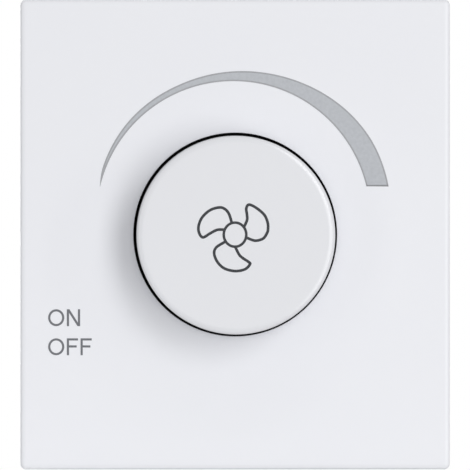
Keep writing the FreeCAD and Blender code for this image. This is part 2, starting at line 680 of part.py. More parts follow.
def make_rotor():
    """The rotor with its stop lug, and the spring that wipes the track."""
    disc = cylinder("rotor_disc", "dim.rotor_diameter / 2", ROTOR_REAR, "dim.rotor_thickness")
    lug = block(
        "rotor_lug", "dim.rotor_diameter / 4", "-dim.stop_lug_width / 2", ROTOR_REAR,
        "dim.rotor_diameter / 4 + dim.stop_lug_reach", "dim.stop_lug_width", "dim.rotor_thickness",
    )
    bore = cylinder("rotor_bore", "dim.tail_diameter / 2", ROTOR_REAR, "dim.rotor_thickness")
    rotor = cut("pot_rotor_solid", fuse("rotor_outline", [disc, lug]), bore)
    keep("pot_rotor", rotor, value("dim.stop_angle"))

    level = f"{ROTOR_REAR} - dim.spring_thickness"
    plate = cylinder("spring_plate", "dim.spring_diameter / 2", level, "dim.spring_thickness")
    bottom = f"({WAFER_FRONT} + dim.fit_gap)"
    feet = []
    for place, side in BOTH_SIDES:
        feet.append(block(
            f"spring_foot_{side}", f"{place} * dim.spring_diameter / 2 - dim.foot_width / 2",
            "-dim.foot_width / 2", bottom, "dim.foot_width", "dim.foot_width", f"{ROTOR_REAR} - {bottom}",
        ))
    middle = cylinder("spring_hole", "dim.tail_diameter / 2", level, "dim.spring_thickness")
    keep("wiper_spring", cut("wiper_spring_solid", fuse("spring_outline", [plate] + feet), middle))


def make_switch_case():
    """The closed case of the click switch behind the can."""
    drum = cylinder("switch_drum", "dim.can_diameter / 2", BOARD_FRONT, "dim.switch_depth")
    depth = "(dim.tail_reach + dim.fit_gap)"
    bore = cylinder("switch_bore", "dim.tail_diameter / 2 + dim.fit_gap", f"{CAN_REAR} - {depth}", depth)
    keep("switch_case", cut("switch_case_solid", drum, bore))


def post_places():
    """The four post positions as expressions, with the sign upwards."""
    places = []
    for across in (-1, 1):
        for up in (-1, 1):
            places.append((f"{across} * {POST_X}", f"{up} * {POST_Y}", up))
    return places


def screw_places():
    """The two opposite posts that take a screw."""
    return [(f"-{POST_X}", f"-{POST_Y}"), (POST_X, POST_Y)]


def make_cooling_plate():
    """The aluminium plate that carries the control, cools the switching device and closes the housing."""
    body = new_body("cooling_plate_body")
    outline = new_sketch(body, "plate_outline", offset=PLATE_REAR)
    width = f"2 * ({INSIDE_X} - dim.plate_gap)"
    height = f"2 * ({HOOK_INSIDE} - dim.plate_gap)"
    rectangle(outline, "0", "0", width, height)
    solid = pad(body, outline, "dim.plate_thickness")
    round_edges(body, solid, "plate_corners", "dim.plate_corner", runs_along_z)
    holes = new_sketch(body, "plate_holes", offset=PLATE_FRONT)
    circle(holes, "0", "0", "dim.bush_diameter / 2 + dim.fit_gap")
    circle(holes, f"-{SIDE_MIDDLE}", TRIAC_HOLE_Y, "dim.tab_screw / 2 + dim.fit_gap")
    for x, y in screw_places():
        circle(holes, x, y, "dim.screw_diameter / 2 + dim.fit_gap")
    pocket(body, holes, "dim.plate_thickness")
    keep("cooling_plate", body)


def slotted_screw(name, x, y, thread, length, head, head_height, under_head, towards):
    """A screw along z with a slotted head; towards is 1 for a head at the front and -1 at the rear."""
    face = f"({under_head} + {head_height})" if towards > 0 else f"({under_head} - {head_height})"
    head_low = under_head if towards > 0 else face
    tip = f"{under_head} - {length}" if towards > 0 else under_head
    cap = cylinder(f"{name}_head", f"{head} / 2", head_low, head_height, x, y)
    shank = cylinder(f"{name}_shank", f"{thread} / 2", tip, length, x, y)
    slot_low = f"{face} - dim.slot_depth" if towards > 0 else face
    slot = block(
        f"{name}_slot", f"{x} - {head} / 2", f"{y} - dim.slot_width / 2", slot_low,
        head, "dim.slot_width", "dim.slot_depth",
    )
    return cut(f"{name}_solid", fuse(f"{name}_blank", [cap, shank]), slot)


def make_plate_screws():
    """The two screws that hold the cooling plate on opposite posts."""
    screws = []
    for number, (x, y) in enumerate(screw_places(), start=1):
        screws.append(slotted_screw(
            f"plate_screw_{number}", x, y, "dim.screw_diameter", "dim.screw_length",
            "dim.screw_head", "dim.screw_head_height", PLATE_FRONT, 1,
        ))
    keep("plate_screws", group("plate_screws_group", screws))


def repeat_vent(body, sketch, first):
    """Repeats a vent slot along its sketch's horizontal axis."""
    vents = body.newObject("PartDesign::LinearPattern", f"{sketch.Name}s")
    vents.Originals = [first]
    vents.Direction = (sketch, ["H_Axis"])
    vents.setExpression("Length", "(dim.vent_count - 1) * dim.vent_pitch")
    vents.setExpression("Occurrences", "dim.vent_count")
    body.Tip = vents
    doc.recompute()


def make_housing():
    """The moulded rear housing: walls, posts, ledges, guide walls, spring clips, vents and holes."""
    body = new_body("rear_housing_body")
    outline = new_sketch(body, "housing_outline")
    rectangle(outline, "0", "0", "dim.housing_width", "dim.housing_height")
    solid = pad(body, outline, "dim.housing_depth", backwards=True)
    solid = round_edges(body, solid, "housing_corners", "dim.housing_corner", runs_along_z)
    bevel_edges(body, solid, "housing_rear_edge", "dim.housing_edge", lies_at("-dim.housing_depth"))
    hollow = new_sketch(body, "housing_hollow")
    rectangle(hollow, "0", "0", f"2 * {INSIDE_X}", f"2 * {INSIDE_Y}")
    pocket(body, hollow, "dim.housing_depth - dim.housing_back")

    shoulders = new_sketch(body, "housing_shoulders", offset=FLOOR)
    posts = new_sketch(body, "housing_posts", offset=FLOOR)
    pilots = new_sketch(body, "housing_pilots", offset=PLATE_REAR)
    for x, y, up in post_places():
        if up > 0:
            rectangle(shoulders, x, y, "dim.shoulder_width", "dim.shoulder_width")
        rectangle(posts, x, y, "dim.post_width", "dim.post_width")
    for x, y in screw_places():
        circle(pilots, x, y, "dim.screw_diameter / 2 + dim.shaft_play")
    pad(body, shoulders, f"{BOARD_REAR} - {FLOOR}")
    pad(body, posts, f"{PLATE_REAR} - {FLOOR}")
    pocket(body, pilots, "dim.screw_length")

    ledges = new_sketch(body, "housing_ledges", offset=FLOOR)
    ledge_width = "dim.post_inset_x"
    for sign in ("1", "-1"):
        rectangle(
            ledges, f"{sign} * ({INSIDE_X} - {ledge_width} / 2 + dim.housing_wall / 4)",
            "-dim.board_drop / 2",
            f"({ledge_width} + dim.housing_wall / 2)", "dim.stall_wall",
        )
    pad(body, ledges, f"{BOARD_REAR} - {FLOOR}")

    stalls = new_sketch(body, "housing_stalls", offset=FLOOR)
    reach = "(dim.cage_width / 2 + dim.fit_gap + dim.stall_wall / 2)"
    low = f"-({INSIDE_Y} + dim.housing_wall / 2)"
    for sign in ("1", "-1"):
        for side in ("1", "-1"):
            middle = f"({sign} * dim.terminal_offset + {side} * {reach})"
            left, right = f"{middle} - dim.stall_wall / 2", f"{middle} + dim.stall_wall / 2"
            polygon(stalls, [(left, low), (right, low), (right, CAGE_HIGH), (left, CAGE_HIGH)])
    pad(body, stalls, "dim.stall_height")

    driver_holes = new_sketch(body, "housing_driver_holes", offset="-dim.housing_depth")
    wire_holes = new_sketch(body, "housing_wire_holes", "XZ_Plane", "dim.housing_height / 2")
    for sign in ("1", "-1"):
        circle(driver_holes, f"{sign} * dim.terminal_offset", CLAMP_Y, "dim.driver_hole / 2")
        level = f"{BAR_FRONT} + dim.wire_space / 2"
        circle(wire_holes, f"{sign} * dim.terminal_offset", level, "dim.wire_hole / 2")
    pocket(body, driver_holes, "dim.housing_back", forwards=True)
    pocket(body, wire_holes, "dim.housing_wall")

    openings = new_sketch(body, "housing_hook_windows", "XZ_Plane")
    window_high = "dim.barb_length - dim.hook_reach + dim.fit_gap"
    window_low = "-dim.hook_reach - dim.fit_gap"
    clip_side = "(dim.clip_width / 2)"
    for sign in ("1", "-1"):
        rectangle(
            openings, f"{sign} * dim.hook_offset", f"(({window_high}) + ({window_low})) / 2",
            "(dim.hook_width + 2 * dim.fit_gap)", f"(({window_high}) - ({window_low}))",
        )
        near, far = f"{sign} * {clip_side}", f"{sign} * ({clip_side} + dim.clip_slot)"
        polygon(openings, [(near, "-dim.clip_length"), (far, "-dim.clip_length"), (far, "0"), (near, "0")])
    pocket(body, openings)

    teeth = new_sketch(body, "housing_clip_teeth", "YZ_Plane")
    catch = "-(dim.frame_thickness + dim.fit_gap)"
    wall = "(dim.housing_height / 2)"
    for sign in ("1", "-1"):
        polygon(teeth, [
            (f"{sign} * ({wall} - dim.housing_wall / 2)", catch),
            (f"{sign} * ({wall} + dim.tooth_height)", catch),
            (f"{sign} * {wall}", f"{catch} - dim.tooth_length"),
            (f"{sign} * ({wall} - dim.housing_wall / 2)", f"{catch} - dim.tooth_length"),
        ])
    pad(body, teeth, "dim.clip_width", symmetric=True)

    side_vent = new_sketch(body, "housing_side_vent", "YZ_Plane")
    side_level = "-(dim.vent_level + dim.vent_length / 2)"
    rectangle(side_vent, "-dim.vent_start", side_level, "dim.vent_width", "dim.vent_length")
    repeat_vent(body, side_vent, pocket(body, side_vent))
    rear_vent = new_sketch(body, "housing_rear_vent", offset="-dim.housing_depth")
    rear_start = "-(dim.vent_count - 1) * dim.vent_pitch / 2"
    rear_level = "(dim.rear_vent_level + dim.rear_vent_length / 2)"
    rectangle(rear_vent, rear_start, rear_level, "dim.vent_width", "dim.rear_vent_length")
    repeat_vent(body, rear_vent, pocket(body, rear_vent, "dim.housing_back", forwards=True))
    keep("rear_housing", body)


def make_board():
    """The circuit board, cut round the upper posts and slotted for the contact bars."""
    body = new_body("circuit_board_body")
    outline = new_sketch(body, "board_outline", offset=BOARD_REAR)
    side = f"({INSIDE_X} - dim.fit_gap)"
    top = f"({INSIDE_Y} - dim.fit_gap)"
    low = "-dim.board_drop"
    polygon(outline, [(f"-{side}", low), (side, low), (side, top), (f"-{side}", top)])
    pad(body, outline, "dim.board_thickness")
    holes = new_sketch(body, "board_holes", offset=BOARD_FRONT)
    for x, y, up in post_places():
        if up > 0:
            rectangle(holes, x, y, "(dim.post_width + 2 * dim.fit_gap)", "(dim.post_width + 2 * dim.fit_gap)")
    for sign in ("1", "-1"):
        rectangle(
            holes, f"{sign} * dim.terminal_offset", f"({BAR_TAB_LOW} + {BAR_TAB_HIGH}) / 2",
            "(dim.bar_width + dim.fit_gap)", "(dim.bar_thickness + dim.fit_gap)",
        )
    for x, y, width, thickness in pin_places():
        rectangle(holes, x, y, f"({width} + dim.fit_gap)", f"({thickness} + dim.fit_gap)")
    pocket(body, holes, "dim.board_thickness")
    keep("circuit_board", body)


def pin_places():
    """Middle, width and thickness of each pin and lead that passes through the board."""
    places = []
    lug_y = "-(dim.can_diameter / 2 + dim.tongue_reach / 2) + dim.lug_thickness / 2"
    for place in (-1, 0, 1):
        places.append((f"{place} * dim.lug_pitch", lug_y, "dim.lug_width", "dim.lug_thickness"))
        places.append((
            f"-{SIDE_MIDDLE} + {place} * dim.triac_pitch",
            f"{TRIAC_HIGH} + dim.lead_reach - dim.lug_thickness / 2", "dim.triac_lead", "dim.lug_thickness",
        ))
    for place, side in BOTH_SIDES:
        pin_y = "dim.can_diameter / 4 + dim.lug_thickness / 2"
        places.append((f"{place} * dim.lug_pitch", pin_y, "dim.lug_width", "dim.lug_thickness"))
    for name, radius, length, x, y in axial_parts():
        for place, side in BOTH_SIDES:
            lead_x = f"{x} + {place} * ({length} / 2 + dim.lead_reach)"
            places.append((lead_x, y, "dim.lead_width", "dim.lead_width"))
    return places


def axial_parts():
    """Name, body radius, body length and place of each part with wire leads at both ends."""
    parts = [
        ("diac", "dim.diac_diameter / 2", "dim.diac_length", f"-{SIDE_MIDDLE}", "dim.diac_y"),
        ("fuse", "dim.fuse_diameter / 2", "dim.fuse_length", SIDE_MIDDLE, "dim.fuse_y"),
    ]
    for row in (0, 1):
        y = f"dim.resistor_row_y + {row} * dim.resistor_row_pitch"
        name = f"resistor_{row + 1}"
        parts.append((name, "dim.resistor_diameter / 2", "dim.resistor_length", f"-{SIDE_MIDDLE}", y))
    return parts


def make_axial_parts():
    """Resistors, trigger diode and fuse, each lying on the board with its leads bent through it."""
    made = {}
    for name, radius, length, x, y in axial_parts():
        level = f"({BOARD_FRONT} + {radius})"
        wire = "dim.lead_width"
        low = f"{y} - {wire} / 2"
        span = f"({length} + 2 * dim.lead_reach + {wire})"
        pieces = [
            rod(f"{name}_body", radius, length, f"{x} - {length} / 2", y, level),
            block(f"{name}_wire", f"{x} - {span} / 2", low, f"{level} - {wire} / 2", span, wire, wire),
        ]
        for place, side in BOTH_SIDES:
            left = f"{x} + {place} * ({length} / 2 + dim.lead_reach) - {wire} / 2"
            reach = f"{level} - {LEAD_END}"
            pieces.append(block(f"{name}_lead_{side}", left, low, LEAD_END, wire, wire, reach))
        made[name] = fuse(f"{name}_solid", pieces)
    keep("diac", made["diac"])
    keep("fuse", made["fuse"])
    keep("resistors", group("resistors_group", [made["resistor_1"], made["resistor_2"]]))


def make_terminals():
    """The two rising-cage terminals: screw, cage and the contact bar that it clamps the wire against."""
    bars = []
    for place, side in BOTH_SIDES:
        x = f"{place} * dim.terminal_offset"
        screw = slotted_screw(
            f"terminal_screw_{side}_part", x, CLAMP_Y, "dim.clamp_screw",
            f"{BAR_REAR} - dim.fit_gap - {HEAD_FRONT}",
            "dim.clamp_head", "dim.clamp_head_height", HEAD_FRONT, -1,
        )
        keep(f"terminal_screw_{side}", screw)

        body = new_body(f"terminal_cage_{side}_body")
        outline = new_sketch(body, f"cage_{side}_outline", "XZ_Plane", f"-{CAGE_HIGH}")
        middle = f"({CAGE_REAR} + {CAGE_FRONT}) / 2"
        rectangle(outline, x, middle, "dim.cage_width", f"({CAGE_FRONT} - {CAGE_REAR})")
        inner_low = f"({CAGE_REAR} + dim.cage_thread_wall)"
        rectangle(
            outline, x, f"({inner_low} + {JAW_INSIDE}) / 2",
            "(dim.cage_width - 2 * dim.cage_side)", f"({JAW_INSIDE} - {inner_low})",
        )
        pad(body, outline, "dim.cage_length")
        thread = new_sketch(body, f"cage_{side}_thread", offset=CAGE_REAR)
        circle(thread, x, CLAMP_Y, "dim.clamp_screw / 2 + dim.shaft_play")
        pocket(body, thread, "dim.cage_thread_wall", forwards=True)
        keep(f"terminal_cage_{side}", body)

        tab = new_body(f"contact_bar_{side}_body")
        profile = new_sketch(tab, f"bar_{side}_profile", "YZ_Plane", x)
        pin_end = f"{BOARD_FRONT} + dim.solder_length"
        polygon(profile, [
            (CAGE_LOW, BAR_REAR),
            (BAR_TAB_HIGH, BAR_REAR),
            (BAR_TAB_HIGH, pin_end),
            (BAR_TAB_LOW, pin_end),
            (BAR_TAB_LOW, BAR_FRONT),
            (CAGE_LOW, BAR_FRONT),
        ])
        pad(tab, profile, "dim.bar_width", symmetric=True)
        bars.append(tab)
    keep("contact_bars", group("contact_bars_group", bars))


def make_triac():
    """The switching device on the plate's rear, with its pad, screw and nut."""
    x = f"-{SIDE_MIDDLE}"
    left = f"{x} - dim.triac_width / 2"
    width, length = "dim.triac_width", "dim.triac_length"
    hole_radius = "dim.tab_screw / 2 + dim.fit_gap"
    sheet = block("pad_sheet", left, TRIAC_LOW, TRIAC_FRONT, width, length, "dim.pad_thickness")
    sheet_hole = cylinder("pad_hole", hole_radius, TRIAC_FRONT, "dim.pad_thickness", x, TRIAC_HOLE_Y)
    keep("triac_pad", cut("triac_pad_solid", sheet, sheet_hole))

    pieces = [block("triac_moulding", left, TRIAC_LOW, TRIAC_REAR, width, length, "dim.triac_height")]
    level = f"({TRIAC_REAR} + dim.triac_height / 3)"
    leg_low = f"({TRIAC_HIGH} + dim.lead_reach - dim.lug_thickness)"
    for place in (-1, 0, 1):
        lead_left = f"{x} + {place} * dim.triac_pitch - dim.triac_lead / 2"
        pieces.append(block(
            f"triac_lead_{place + 2}", lead_left, f"{TRIAC_HIGH} - dim.lug_thickness", level,
            "dim.triac_lead", "dim.lead_reach + dim.lug_thickness", "dim.lug_thickness",
        ))
        pieces.append(block(
            f"triac_leg_{place + 2}", lead_left, leg_low, LEAD_END,
            "dim.triac_lead", "dim.lug_thickness", f"{level} + dim.lug_thickness - {LEAD_END}",
        ))
    hole = cylinder("triac_hole", hole_radius, TRIAC_REAR, "dim.triac_height", x, TRIAC_HOLE_Y)
    keep("triac", cut("triac_solid", fuse("triac_outline", pieces), hole))

    stack = f"({PLATE_FRONT} - {TRIAC_REAR} + dim.tab_nut_thickness + dim.slot_depth)"
    screw = slotted_screw(
        "tab_screw_part", x, TRIAC_HOLE_Y, "dim.tab_screw", stack,
        "dim.tab_screw_head", "dim.tab_screw_head_height", PLATE_FRONT, 1,
    )
    keep("triac_screw", screw)
    nut_low = f"{TRIAC_REAR} - dim.tab_nut_thickness"
    prism = hexagon("tab_nut_prism", "dim.tab_nut_flats", nut_low, "dim.tab_nut_thickness", x, TRIAC_HOLE_Y)
    thread_radius = "dim.tab_screw / 2 + dim.shaft_play"
    thread = cylinder("tab_nut_thread", thread_radius, nut_low, "dim.tab_nut_thickness", x, TRIAC_HOLE_Y)
    keep("triac_nut", cut("triac_nut_solid", prism, thread))


def make_choke():
    """The suppression choke: a ferrite bobbin and its copper winding."""
    x = SIDE_MIDDLE
    left, low, width = f"{x} - dim.choke_width / 2", "-dim.choke_width / 2", "dim.choke_width"
    inner = "(dim.choke_height - 2 * dim.choke_flange)"
    lower = f"({BOARD_FRONT} + dim.choke_flange)"
    drum = fuse("choke_bobbin", [
        block("choke_foot", left, low, BOARD_FRONT, width, width, "dim.choke_flange"),
        cylinder("choke_post", "dim.choke_core / 2", BOARD_FRONT, "dim.choke_height", x),
        block("choke_top", left, low, f"{lower} + {inner}", width, width, "dim.choke_flange"),
    ])
    keep("choke_core", drum)
    coil = cylinder("winding_outer", "dim.winding_diameter / 2", lower, inner, x)
    middle = cylinder("winding_inner", "dim.choke_core / 2", lower, inner, x)
    keep("choke_winding", cut("choke_winding_solid", coil, middle))


def make_capacitors():
    """The two film capacitors in moulded cases on the board."""
    for name, label in (("mains_cap", "mains_capacitor"), ("timing_cap", "timing_capacitor")):
        middle_y = f"({INSIDE_Y} - dim.{name}_inset - dim.{name}_depth / 2)"
        case = block(
            f"{name}_case", f"dim.{name}_x - dim.{name}_width / 2", f"{middle_y} - dim.{name}_depth / 2",
            BOARD_FRONT, f"dim.{name}_width", f"dim.{name}_depth", f"dim.{name}_height",
        )
        doc.recompute()
        size = value("dim.case_edge")
        on_top = lies_at(f"{BOARD_FRONT} + dim.{name}_height")
        chamfered = doc.addObject("Part::Chamfer", f"{name}_solid")
        chamfered.Base = case
        chamfered.Edges = [
            (number, size, size)
            for number, edge in enumerate(case.Shape.Edges, start=1)
            if runs_along_z(edge) or on_top(edge)
        ]
        keep(label, chamfered)


def write_parts():
    """Checks every object and writes each sub-part to its own file."""
    doc.recompute()
    for item in doc.Objects:
        if "Invalid" in item.State or "Error" in item.State:
            raise RuntimeError(f"{item.Name} failed: {item.State}")
    for item in sub_parts:
        if item.Shape.isNull() or not item.Shape.isValid():
            raise RuntimeError(f"{item.Label} has no valid shape")
    os.makedirs("parts", exist_ok=True)
    for item in sub_parts:
        item.Shape.exportStep(f"parts/{item.Label}.step")
        print(f"{item.Label}: {len(item.Shape.Solids)} solids, {item.Shape.Volume:.1f} mm3")


make_front_cover()
make_knob()
make_hub_ring()
make_shaft()
make_bush()
make_bush_fixing()
make_can()
make_wafer()
make_rotor()
make_switch_case()
make_cooling_plate()
make_plate_screws()
make_housing()
make_board()
make_axial_parts()
make_terminals()
make_triac()
make_choke()
make_capacitors()
write_parts()
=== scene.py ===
"""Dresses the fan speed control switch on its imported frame.

Sizes are millimetres in the part's own frame: x to the right, y to the rear and z up, with the rim of the
front cover in the plane y = 0. A mesh is turned to metres when its piece is made.
"""

import json
import logging
import math
from dataclasses import dataclass
from enum import Enum
from typing import Any, ClassVar, Iterable, Sequence

import bmesh
import bpy
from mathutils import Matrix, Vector


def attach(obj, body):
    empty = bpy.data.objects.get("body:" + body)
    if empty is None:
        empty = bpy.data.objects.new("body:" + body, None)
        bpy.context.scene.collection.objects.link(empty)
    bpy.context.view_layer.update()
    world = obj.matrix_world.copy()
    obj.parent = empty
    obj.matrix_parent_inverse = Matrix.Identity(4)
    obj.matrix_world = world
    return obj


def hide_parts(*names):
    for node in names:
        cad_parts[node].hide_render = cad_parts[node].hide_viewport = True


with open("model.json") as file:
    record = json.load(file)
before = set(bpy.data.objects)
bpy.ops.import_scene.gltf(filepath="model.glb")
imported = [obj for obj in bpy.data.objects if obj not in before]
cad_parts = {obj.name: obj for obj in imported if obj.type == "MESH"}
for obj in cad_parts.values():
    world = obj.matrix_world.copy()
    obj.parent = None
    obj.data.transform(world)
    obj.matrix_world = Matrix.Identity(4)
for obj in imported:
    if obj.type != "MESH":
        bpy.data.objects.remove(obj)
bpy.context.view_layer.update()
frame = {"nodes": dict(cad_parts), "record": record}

MM = 0.001
LOG = logging.getLogger("fan_speed_switch")

Flat = tuple[float, float]
Point = tuple[float, float, float]
Mesh = bpy.types.Mesh
Material = bpy.types.Material
Tree = bpy.types.NodeTree
Socket = bpy.types.NodeSocket
Step = tuple[str, dict[Any, Any]]

WHITE = (1.0, 1.0, 1.0, 1.0)
# An edge stays sharp past this angle in degrees.
SHARP = 35.0
# Points nearer than this many metres become one, in a mesh drawn here and in a copy of a CAD node.
MERGE, CAD_MERGE = 1e-7, 2e-6
# Facets of a copied CAD node become one face where they meet flatter than this many degrees.
FLAT_MEETING = 0.5
# Pieces of a curve between two of its knots, and of one round of an edge.
CURVE_STEPS = 8
# A printed line's corner reaches no further out than half its width over this.
LEAST_MITRE = 0.45
# Points round a turn of the winding and round its wire, and round and along a cone of solder.
TURN_STEPS, WIRE_SIDES, CONE_SIDES, CONE_BANDS = 28, 8, 14, 2
# Quarter turns, as factors of a point that is written as a complex number.
QUARTERS = (1, 1j, -1, -1j)


class Body(Enum):
    """The moving bodies of the frame."""

    BASE = "base"
    DIAL = "dial"
    SCREW_LEFT = "screw_left"
    SCREW_RIGHT = "screw_right"
    CAGE_LEFT = "cage_left"
    CAGE_RIGHT = "cage_right"


class Axis(Enum):
    """The direction that a rolled or drawn surface runs in."""

    X = 0
    Y = 1
    Z = 2


def linear(colour: str) -> tuple[float, float, float, float]:
    """Turns an sRGB hex value to a linear colour.

    Args:
        colour: Six hex digits after a hash sign.

    Returns:
        Red, green, blue and an alpha of one.
    """
    shares = [int(colour[i:i + 2], 16) / 255 for i in (1, 3, 5)]
    red, green, blue = (s / 12.92 if s <= 0.04045 else ((s + 0.055) / 1.055) ** 2.4 for s in shares)
    return red, green, blue, 1.0


def add_node(tree: Tree, kind: str, inputs: dict[Any, Any] | None = None, **settings: Any) -> bpy.types.Node:
    """Adds a node with its settings and links.

    Args:
        tree: The tree that takes the node.
        kind: The node's type name.
        inputs: A value or an output socket for each named or numbered input.
        settings: Values of the node's own properties.

    Returns:
        The new node.
    """
    node = tree.nodes.new(kind)
    for name, value in settings.items():
        setattr(node, name, value)
    for key, value in (inputs or {}).items():
        if isinstance(value, Socket):
            tree.links.new(value, node.inputs[key])
        else:
            node.inputs[key].default_value = value
    return node


def add_object(name: str, data: bpy.types.ID) -> bpy.types.Object:
    """Puts an object into the scene.

    Args:
        name: The object's name.
        data: Its mesh, lamp or camera.

    Returns:
        The object, at the origin.
    """
    made = bpy.data.objects.new(name, data)
    bpy.context.scene.collection.objects.link(made)
    return made


def new_material(name: str) -> tuple[Material, Tree, Socket]:
    """Starts a material.

    Args:
        name: The material's name.

    Returns:
        The material, its empty tree and the object coordinates.
    """
    material = bpy.data.materials.new(name)
    material.use_nodes = True
    tree = material.node_tree
    tree.nodes.clear()
    return material, tree, add_node(tree, "ShaderNodeTexCoord").outputs["Object"]


def per_millimetre(size: float) -> float:
    """Gives a texture scale whose features are about this many millimetres wide."""
    return 1 / (size * MM)


def add_chain(tree: Tree, socket: Socket, steps: Iterable[Step]) -> Socket:
    """Adds nodes of which each feeds the next.

    Args:
        tree: The tree that takes them.
        socket: What feeds the first.
        steps: Type name and other inputs of each node.

    Returns:
        The last one's first output.
    """
    for kind, inputs in steps:
        socket = add_node(tree, kind, {0: socket, **inputs}).outputs[0]
    return socket


@dataclass(frozen=True)
class Finish:
    """A finish in two tones, whose gloss and relief follow one pattern."""

    name: str
    colour: str
    second_colour: str
    roughness: float = 0.5
    # Strength of the relief, and its full height.
    depth: float = 0.0
    height_mm: ClassVar[float] = 0.05
    # How far the roughness goes down and up over the pattern.
    spread: ClassVar[Flat | None] = None
    ior: ClassVar[float] = 1.5

    def tones(self) -> list[Step]:
        """Gives the nodes that share out the two tones."""
        raise NotImplementedError

    def relief(self) -> list[Step]:
        """Gives the nodes that gloss and relief follow, or none."""
        return []

    def constants(self) -> dict[str, float]:
        """Gives the shader's sockets that are the same all over."""
        return {"IOR": self.ior}

    def material(self) -> Material:
        """Makes the material.

        Returns:
            The material.
        """
        material, tree, place = new_material(self.name)
        share = add_chain(tree, place, self.tones())
        tint = add_node(tree, "ShaderNodeMix",
                        {0: share, 6: linear(self.colour), 7: linear(self.second_colour)}, data_type="RGBA")
        sockets = {"Base Color": tint.outputs[2], "Roughness": self.roughness, **self.constants()}
        if self.relief():
            height = add_chain(tree, place, self.relief())
            bump = add_node(tree, "ShaderNodeBump",
                            {"Strength": self.depth, "Distance": self.height_mm * MM, "Height": height})
            sockets["Normal"] = bump.outputs[0]
            if self.spread:
                low, high = self.roughness - self.spread[0], self.roughness + self.spread[1]
                sockets["Roughness"] = add_chain(tree, height, [("ShaderNodeMapRange", {3: low, 4: high})])
        shader = add_node(tree, "ShaderNodeBsdfPrincipled", sockets)
        add_node(tree, "ShaderNodeOutputMaterial", {"Surface": shader.outputs[0]})
        return material


@dataclass(frozen=True)
class MouldedPlastic(Finish):
    """ABS, polyamide and the like from a spark-eroded mould: even colour, soft gloss, barely felt grain."""

    roughness: float = 0.42
    depth: float = 0.035
    # The mould's own grain is finer than a pixel, so it is drawn this coarse to show.
    grain_mm: float = 0.28
    flow_mm: float = 14.0
    spread: ClassVar[Flat] = (0.05, 0.05)

    def tones(self) -> list[Step]:
        """Gives wide flow shades."""
        return [("ShaderNodeTexNoise", {"Scale": per_millimetre(self.flow_mm), "Detail": 2.0})]

    def relief(self) -> list[Step]:
        """Gives a fine grain."""
        scale = per_millimetre(self.grain_mm)
        return [("ShaderNodeTexNoise", {"Scale": scale, "Detail": 3.0, "Roughness": 0.6})]


@dataclass(frozen=True)
class WorkedMetal(Finish):
    """Rolled, drawn or plated metal: a metallic base with fine lines along its working direction."""

    depth: float = 0.05
    height_mm: ClassVar[float] = 0.02
    along: Axis = Axis.Y
    line_mm: float = 0.12
    cloud_mm: float = 3.0
    # Share of the pattern's scale that is left along the lines.
    draw: float = 0.06
    spread: ClassVar[Flat] = (0.08, 0.1)

    def tones(self) -> list[Step]:
        """Gives faint clouds."""
        return [("ShaderNodeTexNoise", {"Scale": per_millimetre(self.cloud_mm), "Detail": 3.0})]

    def relief(self) -> list[Step]:
        """Gives the lines of rolling or drawing.

        Returns:
            A pattern that is stretched along the lines.
        """
        stretch = [self.draw if axis is self.along else 1.0 for axis in Axis]
        return [("ShaderNodeMapping", {"Scale": stretch}),
                ("ShaderNodeTexNoise", {"Scale": per_millimetre(self.line_mm), "Detail": 4.0})]

    def constants(self) -> dict[str, float]:
        """Gives the metallic share alone, as a metal keeps the default IOR."""
        return {"Metallic": 1.0}


@dataclass(frozen=True)
class SpeckledSolid(Finish):
    """Pressed, cast or sintered stuff such as ferrite or epoxy: two tones in small grains, dull to silky."""

    depth: float = 0.08
    height_mm: ClassVar[float] = 0.03
    grain_mm: float = 0.3
    # Width of the tones' clouds, in grains.
    cloud_grains: float = 4.0
    coat: float = 0.0
    spread: ClassVar[Flat] = (0.06, 0.08)
    ior: ClassVar[float] = 1.52

    def tones(self) -> list[Step]:
        """Gives clouds some grains wide."""
        scale = per_millimetre(self.cloud_grains * self.grain_mm)
        return [("ShaderNodeTexNoise", {"Scale": scale, "Detail": 4.0})]

    def relief(self) -> list[Step]:
        """Gives the grains."""
        return [("ShaderNodeTexVoronoi", {"Scale": per_millimetre(self.grain_mm)})]

    def constants(self) -> dict[str, float]:
        """Gives the refraction and the clear coat."""
        return {"IOR": self.ior, "Coat Weight": self.coat}


@dataclass(frozen=True)
class BandedLacquer(Finish):
    """Dipped lacquer on a small component, with colour rings across its length along x."""

    roughness: float = 0.3
    depth: float = 0.1
    # Length of one radian of the rings' wave, of which the texture has 20 to each unit.
    radian_mm: float = 1.4
    unit_radians: ClassVar[float] = 20.0
    # Heights of the wave between which a ring begins.
    ring_from: ClassVar[Flat] = (0.72, 0.78)
    drop_mm: float = 0.8
    ior: ClassVar[float] = 1.52

    def tones(self) -> list[Step]:
        """Gives the rings."""
        return [("ShaderNodeTexWave", {"Scale": per_millimetre(self.radian_mm) / self.unit_radians}),
                ("ShaderNodeMapRange", {1: self.ring_from[0], 2: self.ring_from[1]})]

    def relief(self) -> list[Step]:
        """Gives the lacquer's slight unevenness."""
        return [("ShaderNodeTexNoise", {"Scale": per_millimetre(self.drop_mm)})]


@dataclass(frozen=True)
class PrintedInk(Finish):
    """Pad-printed ink: a thin flat film, slightly uneven where the pad let go."""

    mottle_mm: float = 0.2
    # Part of the mottle's range between full and thin film.
    mottle_from: ClassVar[Flat] = (0.3, 0.7)
    ior: ClassVar[float] = 1.45

    def tones(self) -> list[Step]:
        """Gives a fine mottle."""
        return [("ShaderNodeTexNoise", {"Scale": per_millimetre(self.mottle_mm), "Detail": 2.0}),
                ("ShaderNodeMapRange", {1: self.mottle_from[0], 2: self.mottle_from[1]})]


